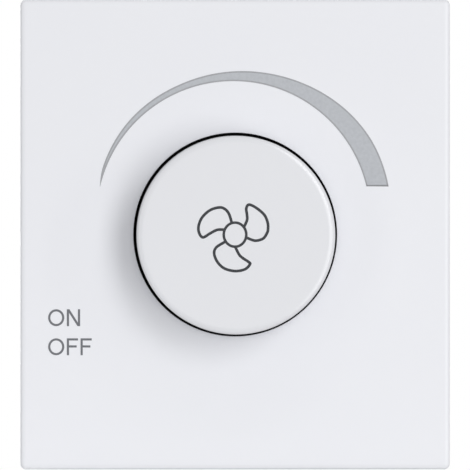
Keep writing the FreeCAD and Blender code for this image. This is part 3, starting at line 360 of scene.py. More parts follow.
FINISHES: dict[str, Finish] = {
    # White ABS, satin: the cover reads as clean white with a cool cast and no texture from a step away.
    "cover_plastic": MouldedPlastic("white_abs_cover", "#E5E6EB", "#E7E8EC", 0.38, 0.02),
    # The same white ABS from another mould, a little glossier on the knob's face.
    "knob_plastic": MouldedPlastic("white_abs_knob", "#DDDEE2", "#DFE0E4", 0.2, 0.012),
    # Light grey polyamide: the housing is duller and a touch warmer than the front.
    "housing_plastic": MouldedPlastic("grey_polyamide_housing", "#C9CBCC", "#D2D3D3", 0.55, 0.12,
                                      grain_mm=0.5),
    # Near-black painted shade in the knob's well, in place of the shade that falls deep in the gap between
    # knob and cover.
    "painted_gap_shade": MouldedPlastic("painted_gap_shade_black", "#0B0B0C", "#0F0F10", 0.8),
    # Rolled aluminium sheet: bright, with straight rolling lines.
    "sheet_aluminium": WorkedMetal("rolled_aluminium", "#C9CCCE", "#BABDC0", 0.36, along=Axis.Z),
    # Zinc-plated steel: cool bright grey with a faint bluish cloud.
    "plated_steel": WorkedMetal("zinc_plated_steel", "#B9BFC6", "#A3ABB5", 0.3),
    # Hardened spring steel: darker, blued, fine drawn lines.
    "spring_steel": WorkedMetal("blued_spring_steel", "#6D7177", "#565B63", 0.34, along=Axis.X),
    # Zinc die casting: matt grey metal with a faint cast skin.
    "cast_zinc": WorkedMetal("zinc_die_casting", "#A6A7A9", "#97989B", 0.48, line_mm=0.4),
    # Contact brass: yellow, slightly dulled.
    "contact_brass": WorkedMetal("rolled_brass", "#C9A75A", "#B5924A", 0.32, along=Axis.X),
    # Phosphor bronze: redder than brass, springy strip.
    "spring_bronze": WorkedMetal("phosphor_bronze", "#B98352", "#A87446", 0.33, along=Axis.X),
    # Tinned copper: bright soft white metal.
    "tinned_copper": WorkedMetal("tinned_copper", "#C8C6C0", "#B6B4AE", 0.28),
    # Paper phenolic: brown, silky, with fibres.
    "phenolic_brown": SpeckledSolid("paper_phenolic", "#6B4A2C", "#7C5836", 0.45, grain_mm=0.25),
    # Black polyamide of the click switch: dull, with a fine even grain.
    "switch_black": SpeckledSolid("black_polyamide_switch", "#1C1D1F", "#252628", 0.5),
    # Brown board laminate with a thin lacquer: warm, with a faint wet shine.
    "board_laminate": SpeckledSolid("board_laminate", "#8A6436", "#9B7442", 0.4, grain_mm=0.4, coat=0.2),
    # Epoxy moulding compound: black, faintly sparkling from its filler.
    "epoxy_black": SpeckledSolid("epoxy_moulding", "#191A1B", "#222324", 0.5, grain_mm=0.15),
    # Silicone pad: soft grey, matt.
    "pad_silicone": SpeckledSolid("silicone_pad", "#8C9298", "#979DA2", 0.7, grain_mm=0.2),
    # Sintered ferrite: dark, dry, grainy.
    "ferrite": SpeckledSolid("sintered_ferrite", "#37383B", "#424347", 0.62, grain_mm=0.18),
    # Enamelled copper wire: red-brown with a clear gloss.
    "enamelled_copper": WorkedMetal("enamelled_copper", "#A4552B", "#B76635", 0.22, along=Axis.Z),
    # Capacitor case of yellow polypropylene: an even semi-gloss.
    "capacitor_case": MouldedPlastic("yellow_polypropylene", "#D9B73C", "#DDBE4A", 0.35),
    # Timing capacitor, dipped red-brown epoxy: smooth and fairly glossy.
    "timing_case": MouldedPlastic("red_epoxy_dip", "#9A3B2A", "#A3432F", 0.3),
    # Resistor lacquer: beige with dark rings.
    "resistor_lacquer": BandedLacquer("resistor_lacquer", "#C9AE86", "#4A3226"),
    # Trigger diode lacquer: blue with a pale ring.
    "diode_lacquer": BandedLacquer("diode_lacquer", "#2F4F8A", "#C9CCD2", radian_mm=4.0),
    # Fuse sleeve: off-white ceramic with grey end rings.
    "fuse_sleeve": BandedLacquer("fuse_sleeve", "#DAD6CB", "#A7A49C", radian_mm=6.0),
    # Tin-rich solder: bright, with soft uneven highlights.
    "solder": WorkedMetal("tin_solder", "#CFCFCB", "#BEBEBA", 0.2, line_mm=0.5),
    # Grey ink of the speed wedge, with the mottle of a screen print.
    "wedge_ink": PrintedInk("grey_ink", "#AFB2B7", "#B7BABF", mottle_mm=0.35),
    # Darker grey ink of the thin line round the wedge.
    "wedge_edge_ink": PrintedInk("grey_edge_ink", "#98999D", "#A0A2A5", mottle_mm=0.3),
    # Mid grey ink of the two words, with a cool cast.
    "legend_ink": PrintedInk("mid_grey_ink", "#626469", "#696B70"),
    # Dark blue-grey ink of the symbol on the knob, nearly black.
    "symbol_ink": PrintedInk("dark_grey_ink", "#0E1218", "#151A22"),
}
# Materials made so far, by the name of their finish.
MADE: dict[str, Material] = {}


def finish(slot: str) -> Material:
    """Gives the material of a slot, made once.

    Args:
        slot: A name in FINISHES.

    Returns:
        The material.
    """
    if slot not in MADE:
        MADE[slot] = FINISHES[slot].material()
    return MADE[slot]


class Draft:
    """A mesh in the making, drawn in millimetres."""

    def __init__(self) -> None:
        """Starts empty."""
        self.points: list[Point] = []
        self.faces: list[tuple[int, ...]] = []
        self.slots: list[int] = []

    def loop(self, points: Iterable[Point]) -> list[int]:
        """Adds points.

        Args:
            points: The points, in order.

        Returns:
            Their numbers.
        """
        start = len(self.points)
        self.points.extend(points)
        return list(range(start, len(self.points)))

    def bridge(self, first: Sequence[int], second: Sequence[int], slots: Sequence[int] = (0,),
               closed: bool = True) -> None:
        """Joins two loops of equal length by a band of quads.

        Args:
            first: Point numbers of one loop.
            second: Point numbers of the other.
            slots: Material numbers that the quads take in turn.
            closed: Whether the loops run round.
        """
        count = len(first)
        for i in range(count if closed else count - 1):
            j = (i + 1) % count
            self.faces.append((first[i], first[j], second[j], second[i]))
            self.slots.append(slots[i % len(slots)])

    def cap(self, loop: Sequence[int], slot: int = 0) -> None:
        """Closes a loop by one face."""
        self.faces.append(tuple(loop))
        self.slots.append(slot)

    def loft(self, loops: Sequence[Sequence[Point]]) -> None:
        """Joins loops one after another and caps both ends.

        Args:
            loops: The loops, all of one length.
        """
        numbers = [self.loop(points) for points in loops]
        for first, second in zip(numbers, numbers[1:]):
            self.bridge(first, second)
        self.cap(numbers[0])
        self.cap(numbers[-1])

    def prism(self, outline: Sequence[Flat], front: float, rear: float) -> None:
        """Adds a plate whose outline (x, z) lies in the front view, between two levels of y."""
        self.loft([[(x, y, z) for x, z in outline] for y in (front, rear)])

    def block(self, low: Point, high: Point) -> None:
        """Adds a box between two corners."""
        outline = [(low[0], low[2]), (high[0], low[2]), (high[0], high[2]), (low[0], high[2])]
        self.prism(outline, low[1], high[1])

    def stroke(self, path: Sequence[Flat], width: float, front: float, rear: float, closed: bool) -> None:
        """Adds a flat printed line along a path in the front view.

        Args:
            path: Points (x, z) of the line's middle.
            width: Width of the line.
            front: y of its front.
            rear: y of its rear.
            closed: Whether the path runs round.
        """
        left, right = offset_path(path, width / 2, closed)
        edges = ((left, front), (right, front), (right, rear), (left, rear))
        numbers = [self.loop([(x, y, z) for x, z in side]) for side, y in edges]
        for first, second in zip(numbers, numbers[1:] + numbers[:1]):
            self.bridge(first, second, closed=closed)
        if not closed:
            for end in (0, -1):
                self.cap([line[end] for line in numbers])

    def mesh(self, name: str, sharp: float = SHARP) -> Mesh:
        """Makes the mesh in metres, with its faces outwards.

        Args:
            name: The mesh's name.
            sharp: Angle in degrees past which an edge stays sharp.

        Returns:
            The mesh.
        """
        mesh = bpy.data.meshes.new(name)
        mesh.from_pydata([tuple(c * MM for c in p) for p in self.points], [], self.faces)
        mesh.polygons.foreach_set("material_index", self.slots)
        tidy_mesh(mesh, sharp)
        return mesh


def offset_path(path: Sequence[Flat], reach: float, closed: bool) -> tuple[list[Flat], list[Flat]]:
    """Gives the two sides of a line drawn along a path.

    Args:
        path: Points of its middle.
        reach: Half its width.
        closed: Whether it runs round.

    Returns:
        The left and the right side, each as long as the path.
    """
    left, right = [], []
    count = len(path)
    for i, (x, z) in enumerate(path):
        before = path[i - 1] if closed or i else path[0]
        after = path[(i + 1) % count] if closed or i < count - 1 else path[-1]
        into = Vector((x - before[0], z - before[1]))
        out = Vector((after[0] - x, after[1] - z))
        into = into.normalized() if into.length else out.normalized()
        out = out.normalized() if out.length else into
        side = Vector((-into.y - out.y, into.x + out.x)).normalized()
        size = reach / max(side.dot(Vector((-into.y, into.x))), LEAST_MITRE)
        left.append((x + side.x * size, z + side.y * size))
        right.append((x - side.x * size, z - side.y * size))
    return left, right


def smooth_path(knots: Sequence[Flat]) -> list[Flat]:
    """Runs a smooth open curve through points.

    Args:
        knots: The points, in order.

    Returns:
        Points along the curve, both ends among them.
    """
    curve: list[Flat] = []
    last = len(knots) - 1
    for i in range(last):
        a, b, c, d = (Vector(knots[max(0, min(last, i + k))]) for k in (-1, 0, 1, 2))
        for step in range(CURVE_STEPS):
            t = step / CURVE_STEPS
            point = 0.5 * (2 * b + (c - a) * t + (2 * a - 5 * b + 4 * c - d) * t ** 2
                           + (3 * b - a - 3 * c + d) * t ** 3)
            curve.append((point.x, point.y))
    return curve + [tuple(knots[-1])]


def round_path(reach: Flat, count: int, middle: Flat = (0.0, 0.0)) -> list[Flat]:
    """Gives points round an ellipse.

    Args:
        reach: Its half width and half height.
        count: Number of points.
        middle: Its centre.

    Returns:
        The points, from the right on.
    """
    angles = [math.tau * i / count for i in range(count)]
    return [(middle[0] + reach[0] * math.cos(a), middle[1] + reach[1] * math.sin(a)) for a in angles]


def rounded_edge(rounds: Sequence[Flat]) -> list[Flat]:
    """Gives the section of an edge that turns away in several rounds, one after another.

    Args:
        rounds: Width of each round from the face outwards, and the slope in degrees at its end.

    Returns:
        Distance outwards and depth of each point, from the end of the face on.
    """
    section: list[Flat] = [(0.0, 0.0)]
    start = 0.0
    for width, slope in rounds:
        out, down = section[-1]
        end = math.radians(slope)
        bend = width / (math.sin(end) - math.sin(start))
        for step in range(1, CURVE_STEPS + 1):
            angle = start + (end - start) * step / CURVE_STEPS
            section.append((out + bend * (math.sin(angle) - math.sin(start)),
                            down + bend * (math.cos(start) - math.cos(angle))))
        start = end
    return section


def tidy_mesh(mesh: Mesh, sharp: float = SHARP, cad: bool = False) -> None:
    """Merges doubles and marks sharp edges.

    Args:
        mesh: The mesh to change.
        sharp: Angle in degrees past which an edge stays sharp.
        cad: Whether it copies a CAD node, whose faces point the right way and whose facets are joined;
            the faces of any other mesh are turned outwards.
    """
    work = bmesh.new()
    work.from_mesh(mesh)
    bmesh.ops.remove_doubles(work, verts=work.verts, dist=CAD_MERGE if cad else MERGE)
    if cad:
        bmesh.ops.dissolve_limit(work, angle_limit=math.radians(FLAT_MEETING),
                                 verts=work.verts, edges=work.edges)
    else:
        bmesh.ops.recalc_face_normals(work, faces=work.faces)
    work.to_mesh(mesh)
    work.free()
    mesh.shade_smooth()
    mesh.set_sharp_from_angle(angle=math.radians(sharp))


def keep(carrier: bpy.types.Object, name: str) -> Mesh:
    """Turns what a scratch object's modifiers make to a plain mesh, and removes the object.

    Args:
        carrier: The object.
        name: Name of the resulting mesh.

    Returns:
        The mesh.
    """
    depsgraph = bpy.context.evaluated_depsgraph_get()
    mesh = bpy.data.meshes.new_from_object(carrier.evaluated_get(depsgraph), depsgraph=depsgraph)
    source = carrier.data
    carrier.modifiers.clear()
    bpy.data.objects.remove(carrier)
    bpy.data.meshes.remove(source)
    mesh.name = name
    return mesh


def settle(mesh: Mesh, modifiers: dict[str, dict[str, Any]]) -> Mesh:
    """Runs modifiers on a mesh, weights its normals by its faces and keeps the result.

    Args:
        mesh: The mesh to start from.
        modifiers: Settings of each modifier by its type, in order.

    Returns:
        A new plain mesh of the same name.
    """
    carrier = add_object("carrier", mesh)
    weighted = {"WEIGHTED_NORMAL": {"keep_sharp": True, "weight": 90}}
    for kind, settings in (modifiers | weighted).items():
        modifier = carrier.modifiers.new(kind.lower(), kind)
        for name, value in settings.items():
            setattr(modifier, name, value)
    return keep(carrier, mesh.name)


def place(mesh: Mesh, body: Body, slots: Sequence[str], nodes: Sequence[str] = ()) -> None:
    """Puts a finished mesh into the scene as a piece.

    Args:
        mesh: The mesh, whose name becomes the piece's.
        body: The body that it rides on.
        slots: Names of its finishes, in the order of its material slots.
        nodes: CAD nodes that it stands for.
    """
    for slot in slots[len(mesh.materials):]:
        mesh.materials.append(finish(slot))
    piece = add_object(mesh.name, mesh)
    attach(piece, body.value)
    if nodes:
        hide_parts(*nodes)
    LOG.info("%s: %d faces on %s", piece.name, len(mesh.polygons), body.value)


class NodeTree:
    """A Geometry Nodes tree with named inputs, and the way its result becomes a plain mesh."""

    def __init__(self, name: str, inputs: dict[str, str]) -> None:
        """Starts a tree.

        Args:
            name: The tree's name.
            inputs: Socket type of each named size.
        """
        self.tree = bpy.data.node_groups.new(name, "GeometryNodeTree")
        sockets = self.tree.interface
        for label, kind in ({"Geometry": "Geometry"} | inputs | {"Finish": "Material"}).items():
            sockets.new_socket(label, in_out="INPUT", socket_type="NodeSocket" + kind)
        sockets.new_socket("Geometry", in_out="OUTPUT", socket_type="NodeSocketGeometry")
        self.given = add_node(self.tree, "NodeGroupInput").outputs

    def close(self, geometry: Socket) -> None:
        """Ends the tree in real geometry with its finish.

        Args:
            geometry: What the tree has made.
        """
        real = add_node(self.tree, "GeometryNodeRealizeInstances", {"Geometry": geometry})
        dressed = add_node(self.tree, "GeometryNodeSetMaterial",
                           {"Geometry": real.outputs[0], "Material": self.given["Finish"]})
        add_node(self.tree, "NodeGroupOutput", {"Geometry": dressed.outputs[0]})

    def run(self, name: str, source: Mesh, slot: str, sizes: dict[str, Any]) -> Mesh:
        """Runs the tree once.

        Args:
            name: Name of the resulting mesh.
            source: The mesh that the tree starts from.
            slot: Its finish.
            sizes: A value for each named input.

        Returns:
            A plain mesh.
        """
        carrier = add_object(name + "_carrier", source)
        modifier = carrier.modifiers.new(self.tree.name, "NODES")
        modifier.node_group = self.tree
        values = dict(sizes, Finish=finish(slot))
        for item in self.tree.interface.items_tree:
            if item.in_out == "INPUT" and item.name in values:
                modifier[item.identifier] = values[item.name]
        mesh = keep(carrier, name)
        tidy_mesh(mesh)
        return mesh


def turned_copies() -> NodeTree:
    """Makes the tree that sets copies of a shape round the knob's axis.

    Returns:
        The tree.
    """
    made = NodeTree("turned_copies", {"Count": "Int"})
    tree, given = made.tree, made.given
    points = add_node(tree, "GeometryNodePoints", {"Count": given["Count"]})
    step = add_node(tree, "ShaderNodeMath", {0: math.tau, 1: given["Count"]}, operation="DIVIDE")
    index = add_node(tree, "GeometryNodeInputIndex")
    angle = add_node(tree, "ShaderNodeMath", {0: index.outputs[0], 1: step.outputs[0]},
                     operation="MULTIPLY")
    turn = add_node(tree, "ShaderNodeCombineXYZ", {"Y": angle.outputs[0]})
    copies = add_node(tree, "GeometryNodeInstanceOnPoints",
                      {"Points": points.outputs[0], "Instance": given["Geometry"],
                       "Rotation": turn.outputs[0]})
    made.close(copies.outputs[0])
    return made


def wound_wire() -> NodeTree:
    """Makes the tree that winds a wire on a bobbin along y.

    Returns:
        The tree.
    """
    made = NodeTree("wound_wire", {"Radius": "Float", "Wire": "Float", "Turns": "Float", "Length": "Float",
                                   "Start": "Vector"})
    tree, given = made.tree, made.given
    line = add_node(tree, "GeometryNodeCurveSpiral",
                    {"Resolution": TURN_STEPS, "Rotations": given["Turns"], "Start Radius": given["Radius"],
                     "End Radius": given["Radius"], "Height": given["Length"]})
    section = add_node(tree, "GeometryNodeCurvePrimitiveCircle",
                       {"Resolution": WIRE_SIDES, "Radius": given["Wire"]})
    wire = add_node(tree, "GeometryNodeCurveToMesh",
                    {"Curve": line.outputs[0], "Profile Curve": section.outputs[0], "Fill Caps": True})
    laid = add_node(tree, "GeometryNodeTransform",
                    {"Geometry": wire.outputs[0], "Rotation": (-math.pi / 2, 0, 0),
                     "Translation": given["Start"]})
    made.close(laid.outputs[0])
    return made


def solder_cones() -> NodeTree:
    """Makes the tree that sets a cone of solder on every point, standing towards the rear.

    Returns:
        The tree.
    """
    made = NodeTree("solder_cones", {"Foot": "Float", "Tip": "Float", "Height": "Float"})
    tree, given = made.tree, made.given
    cone = add_node(tree, "GeometryNodeMeshCone",
                    {"Vertices": CONE_SIDES, "Side Segments": CONE_BANDS, "Radius Top": given["Tip"],
                     "Radius Bottom": given["Foot"], "Depth": given["Height"]})
    copies = add_node(tree, "GeometryNodeInstanceOnPoints",
                      {"Points": given["Geometry"], "Instance": cone.outputs[0],
                       "Rotation": (-math.pi / 2, 0, 0)})
    made.close(copies.outputs[0])
    return made


@dataclass
class FrontCover:
    """The white cover: a square shell with a softened front edge, the knob's well, ribs and snap hooks."""

    width: float = 44.8
    height: float = 49.0
    depth: float = 8.0
    wall: float = 1.5
    face: float = 1.8
    corner: float = 0.6
    least_corner: float = 0.06
    # The front edge's rounds, as rounded_edge takes them.
    rounds: tuple[Flat, ...] = ((0.32, 14.0), (0.28, 90.0))
    # Distance of the loops that keep the face flat from the hole and from the edge's rounds.
    flat_from_hole: float = 0.6
    flat_from_edge: float = 0.3
    # Broken edges of the rim.
    outer_break: float = 0.12
    inner_break: float = 0.1
    hole: float = 10.62
    hole_edge: float = 0.06
    hole_steps: int = 3
    # Depth of the loop behind the hole's edge.
    lip: float = 0.35
    collar_wall: float = 1.0
    collar_length: float = 3.2
    well_floor: float = 0.8
    hub_hole: float = 5.6
    rib: float = 0.9
    rib_height: float = 2.0
    hook_width: float = 5.0
    hook_offset: float = 9.2
    hook_outside: float = 19.9
    hook_thickness: float = 1.3
    hook_reach: float = 5.2
    barb_height: float = 0.9
    barb_length: float = 2.4
    # How far ribs and hooks go into the walls and into the face.
    wall_sink: float = 0.2
    face_sink: float = 0.1
    side_steps: int = 30
    corner_steps: int = 8

    def square(self, inset: float, y: float) -> list[Point]:
        """Gives a rounded square loop.

        Args:
            inset: Distance inside the cover's outline.
            y: Its level.

        Returns:
            Points in order from the lower right, the same number for every inset.
        """
        halves = (self.width / 2 - inset, self.height / 2 - inset)
        radius = max(self.corner - inset, self.least_corner)
        loop: list[complex] = []
        for number, quarter in enumerate(QUARTERS):
            near, far = halves if number % 2 == 0 else halves[::-1]
            start = math.atan2(far - radius, near)
            for i in range(1, self.side_steps):
                angle = start * (2 * i / self.side_steps - 1)
                loop.append(quarter * complex(near, near * math.tan(angle)))
            for i in range(self.corner_steps + 1):
                angle = math.pi / 2 * i / self.corner_steps
                loop.append(quarter * complex(near - radius + radius * math.cos(angle),
                                              far - radius + radius * math.sin(angle)))
        return [(point.real, y, point.imag) for point in loop]

    def circle(self, radius: float, y: float) -> list[Point]:
        """Gives a circle loop whose points lie on the same rays as the square's.

        Args:
            radius: Its radius.
            y: Its level.

        Returns:
            As many points as the square has.
        """
        loop = []
        for x, _, z in self.square(0.0, 0.0):
            share = radius / math.hypot(x, z)
            loop.append((x * share, y, z * share))
        return loop

    def shell(self) -> Draft:
        """Draws the shell as one closed ring of bands, from the well over face and rim back to the well.

        Returns:
            The draft, with the well's own bands in the second material, a near-black painted shade.
        """
        front, inside = -self.depth, self.face - self.depth
        collar, collar_end = self.hole + self.collar_wall, inside + self.collar_length
        floor = collar_end - self.well_floor
        loops = [self.circle(self.hub_hole, collar_end), self.circle(self.hub_hole, floor),
                 self.circle(self.hole, floor), self.circle(self.hole, front + self.lip)]
        # The bands down the well so far take the second material, painted shade for the gap round the knob.
        painted_shade_loops = len(loops)
        for step in range(self.hole_steps + 1):
            angle = math.pi / 2 * step / self.hole_steps
            loops.append(self.circle(self.hole + self.hole_edge * (1 - math.cos(angle)),
                                     front + self.hole_edge * (1 - math.sin(angle))))
        edge = sum(width for width, _ in self.rounds)
        loops += [self.circle(self.hole + self.flat_from_hole, front),
                  self.square(edge + self.flat_from_edge, front)]
        loops += [self.square(edge - out, front + down) for out, down in rounded_edge(self.rounds)]
        loops += [self.square(0.0, -self.outer_break), self.square(self.outer_break, 0.0),
                  self.square(self.wall - self.inner_break, 0.0), self.square(self.wall, -self.inner_break),
                  self.square(self.wall, inside), self.circle(collar, inside),
                  self.circle(collar, collar_end)]
        draft = Draft()
        numbers = [draft.loop(points) for points in loops]
        for i, (first, second) in enumerate(zip(numbers, numbers[1:] + numbers[:1])):
            draft.bridge(first, second, (1,) if i < painted_shade_loops else (0,))
        return draft

    def fittings(self, draft: Draft) -> None:
        """Draws the ribs behind the face and the four snap hooks.

        Args:
            draft: The draft that takes them.
        """
        inside = self.face - self.depth
        start = inside - self.face_sink
        ends = (self.hole + self.collar_wall - self.wall_sink, self.width / 2 - self.wall + self.wall_sink)
        inner, outer = self.hook_outside - self.hook_thickness, self.hook_outside
        barb = self.hook_reach - self.barb_length
        side = [(inner, start), (outer, start), (outer, barb), (outer + self.barb_height, barb),
                (outer, self.hook_reach), (inner, self.hook_reach)]
        for sign in (-1, 1):
            near, far = sorted(sign * end for end in ends)
            draft.block((near, start, -self.rib / 2), (far, inside + self.rib_height, self.rib / 2))
        for up in (-1, 1):
            for across in (-1, 1):
                left = across * self.hook_offset - self.hook_width / 2
                draft.loft([[(x, y, up * z) for z, y in side] for x in (left, left + self.hook_width)])

    def build(self) -> None:
        """Makes the cover and puts it in place of its node."""
        draft = self.shell()
        self.fittings(draft)
        mesh = settle(draft.mesh("front_cover_shell"), {})
        # The second finish paints the well near black, as shade for the gap round the knob.
        place(mesh, Body.BASE, ["cover_plastic", "painted_gap_shade"], ["front_cover"])


@dataclass
class SpeedKnob:
    """The round push-on knob: hollow and turned, with a softly rounded front edge, a split hub and ribs."""

    radius: float = 10.31
    front: float = -14.985
    # The front edge's rounds, as rounded_edge takes them.
    rounds: tuple[Flat, ...] = ((0.5, 16.0), (0.26, 72.0))
    # Distance of the loop that keeps the face flat from the rounds.
    flat_from_edge: float = 0.5
    wall: float = 1.4
    inside: float = -13.2
    skirt_end: float = -5.4
    skirt_break: float = 0.1
    hub: float = 4.5
    hub_end: float = -3.2
    hub_break: float = 0.15
    bore: float = 3.05
    # Radius of the face that closes the turned shape at its axis.
    pole: float = 0.4
    slit: float = 0.8
    slit_depth: float = 4.0
    slit_past: float = 1.0
    # The bore's flat, and how far its piece reaches into the hub, as a factor of the bore.
    flat: float = 1.55
    flat_grip: float = 1.01
    flat_steps: int = 16
    rib: float = 0.9
    rib_depth: float = 4.5
    rib_count: int = 6
    # How far ribs and the bore's flat go into the walls and into the face.
    wall_sink: float = 0.2
    face_sink: float = 0.1
    steps: int = 160
    sharp: float = 40.0

    def wall_end(self, outer: float, inner: float, end: float, broken: float) -> list[Flat]:
        """Gives the section (radius, y) of a wall's end with both its edges broken."""
        return [(outer, end - broken), (outer - broken, end), (inner + broken, end), (inner, end - broken)]

    def profile(self) -> list[Flat]:
        """Gives the turned section.

        Returns:
            Points (radius, y) from the front's middle round the outside to the bore's floor.
        """
        edge = self.radius - sum(width for width, _ in self.rounds)
        inner = self.radius - self.wall
        section: list[Flat] = [(self.pole, self.front), (edge - self.flat_from_edge, self.front)]
        section += [(edge + out, self.front + down) for out, down in rounded_edge(self.rounds)]
        section += self.wall_end(self.radius, inner, self.skirt_end, self.skirt_break)
        section += [(inner, self.inside), (self.hub, self.inside)]
        section += self.wall_end(self.hub, self.bore, self.hub_end, self.hub_break)
        return section + [(self.bore, self.inside), (self.pole, self.inside)]

    def shell(self) -> Mesh:
        """Turns the section and cuts the hub's slit.

        Returns:
            The mesh.
        """
        draft = Draft()
        draft.loft([[(x, y, z) for x, z in round_path((radius, radius), self.steps)]
                    for radius, y in self.profile()])
        across, half = self.hub + self.slit_past, self.slit / 2
        cutter = Draft()
        cutter.block((-across, self.hub_end - self.slit_depth, -half),
                     (across, self.hub_end + self.slit_past, half))
        tool = add_object("slit_cutter", cutter.mesh("slit_cutter"))
        cut = {"BOOLEAN": {"object": tool, "solver": "EXACT"}}
        mesh = settle(draft.mesh("knob_shell", self.sharp), cut)
        bpy.data.objects.remove(tool)
        return mesh

    def bore_flat(self) -> Mesh:
        """Draws the piece that makes the bore D-shaped.

        Returns:
            The mesh.
        """
        reach = math.sqrt(self.bore ** 2 - self.flat ** 2)
        grip = self.bore * self.flat_grip
        low = math.asin(self.flat / self.bore)
        angles = [low + (math.pi - 2 * low) * i / self.flat_steps for i in range(1, self.flat_steps)]
        outline = [(-reach, self.flat), (reach, self.flat)]
        outline += [(grip * math.cos(a), grip * math.sin(a)) for a in angles]
        draft = Draft()
        draft.prism(outline, self.inside - self.face_sink, self.hub_end - self.slit_depth)
        return draft.mesh("knob_bore_flat")

    def ribs(self) -> Mesh:
        """Sets the ribs between hub and skirt.

        Returns:
            The mesh.
        """
        draft = Draft()
        draft.block((self.hub - self.wall_sink, self.inside - self.face_sink, -self.rib / 2),
                    (self.radius - self.wall + self.wall_sink, self.inside + self.rib_depth, self.rib / 2))
        sizes = {"Count": self.rib_count}
        return turned_copies().run("knob_ribs", draft.mesh("knob_rib"), "knob_plastic", sizes)

    def build(self) -> None:
        """Makes the knob, its bore's flat and its ribs."""
        place(self.shell(), Body.DIAL, ["knob_plastic"], ["speed_knob"])
        place(self.bore_flat(), Body.DIAL, ["knob_plastic"])
        place(self.ribs(), Body.DIAL, ["knob_plastic"])


@dataclass
class SpeedWedge:
    """The printed wedge over the knob that widens with the speed, with its darker edge line."""

    middle: Flat = (-0.2, 1.735)
    inner: float = 14.258
    # Height at which the wide end starts on the inner arc.
    level: float = 5.02
    front: float = -8.02
    rear: float = -7.98
    line: float = 0.16
    # Most that one edge line takes of the wedge's width.
    line_share: float = 0.48
    # Angle in degrees and thickness of the wedge there.
    widths: tuple[Flat, ...] = (
        (11.4, 2.26), (17.2, 2.29), (28.8, 2.28), (40.5, 2.10), (52.3, 1.82), (64.1, 1.52),
        (76.0, 1.26), (88.0, 1.05), (100.0, 0.87), (112.2, 0.72), (124.5, 0.66), (136.8, 0.59),
        (149.2, 0.46), (157.5, 0.35), (161.6, 0.25), (166.8, 0.02),
    )
    # Materials round the film's section, where the fill shows between two edge lines, and at its ends.
    section_slots: tuple[int, ...] = (1, 0, 1, 1, 1, 1, 1, 1)
    end_slot: int = 1

    def edge(self, angle: float, radius: float) -> Flat:
        """Gives the point at an angle and a distance from the wedge's middle."""
        turn = math.radians(angle)
        return self.middle[0] + radius * math.cos(turn), self.middle[1] + radius * math.sin(turn)

    def sides(self) -> list[tuple[Flat, Flat]]:
        """Gives the wedge's two long edges.

        Returns:
            Pairs of an inner and an outer point, from the wide end to the tip.
        """
        curve = smooth_path(self.widths)
        (first, width), (last, _) = curve[0], curve[-1]
        curve.insert(1, (first + math.degrees(self.line / (self.inner + width)), width))
        start = math.degrees(math.asin((self.level - self.middle[1]) / self.inner))
        pairs = []
        for angle, width in curve:
            share = (angle - first) / (last - first)
            pairs.append((self.edge(start + (last - start) * share, self.inner),
                          self.edge(angle, self.inner + width)))
        return pairs

    def build(self) -> None:
        """Makes the fill and its edge lines as one thin film on the cover."""
        draft = Draft()
        rings = []
        for inner, outer in self.sides():
            across = Vector(outer) - Vector(inner)
            line = across.normalized() * min(self.line, self.line_share * across.length)
            stops = [Vector(inner), Vector(inner) + line, Vector(outer) - line, Vector(outer)]
            rings.append(draft.loop([(p.x, self.front, p.y) for p in stops]
                                    + [(p.x, self.rear, p.y) for p in reversed(stops)]))
        for i, (near, far) in enumerate(zip(rings, rings[1:])):
            draft.bridge(near, far, self.section_slots if i else (self.end_slot,))
        for end in (0, -1):
            draft.cap(rings[end], self.end_slot)
        place(draft.mesh("speed_wedge"), Body.BASE, ["wedge_ink", "wedge_edge_ink"])


@dataclass
class Legend:
    """The two printed words beside the knob, in plain upright letters."""

    left: float = -19.5
    lines: tuple[tuple[str, float], ...] = (("ON", -9.55), ("OFF", -12.58))
    cap: float = 1.76
    stroke: float = 0.225
    gap: float = 0.27
    width_n: float = 1.38
    width_f: float = 1.16
    width_o: float = 1.68
    # Width of the N's slant in strokes, and height and length of the F's lower arm as shares of the letter.
    slant: float = 1.2
    arm_height: float = 0.52
    arm_length: float = 0.88
    round_steps: int = 48
    front: float = -8.02
    rear: float = -7.98

    def letters(self) -> dict[str, tuple[list[Flat], float]]:
        """Draws each letter once.

        Returns:
            The outline of N and F and the middle line of O from the letter's lower left, and its width.
        """
        c, s, n, f, o = self.cap, self.stroke, self.width_n, self.width_f, self.width_o
        slant, arm = self.slant * s, self.arm_length * f
        low, high = self.arm_height * c - s / 2, self.arm_height * c + s / 2
        notch = c * s / (n - slant)
        outline_n = [(0, 0), (0, c), (slant, c), (n - s, notch), (n - s, c), (n, c), (n, 0), (n - slant, 0),
                     (s, c - notch), (s, 0)]
        outline_f = [(0, 0), (0, c), (f, c), (f, c - s), (s, c - s), (s, high), (arm, high), (arm, low),
                     (s, low), (s, 0)]
        line_o = round_path(((o - s) / 2, (c - s) / 2), self.round_steps, (o / 2, c / 2))
        return {"N": (outline_n, n), "F": (outline_f, f), "O": (line_o, o)}

    def build(self) -> None:
        """Makes both words as one thin film on the cover."""
        draft = Draft()
        letters = self.letters()
        for word, base in self.lines:
            x = self.left
            for sign in word:
                path, width = letters[sign]
                path = [(x + right, base + up) for right, up in path]
                if sign == "O":
                    draft.stroke(path, self.stroke, self.front, self.rear, True)
                else:
                    draft.prism(path, self.front, self.rear)
                x += width + self.gap
        place(draft.mesh("legend"), Body.BASE, ["legend_ink"])


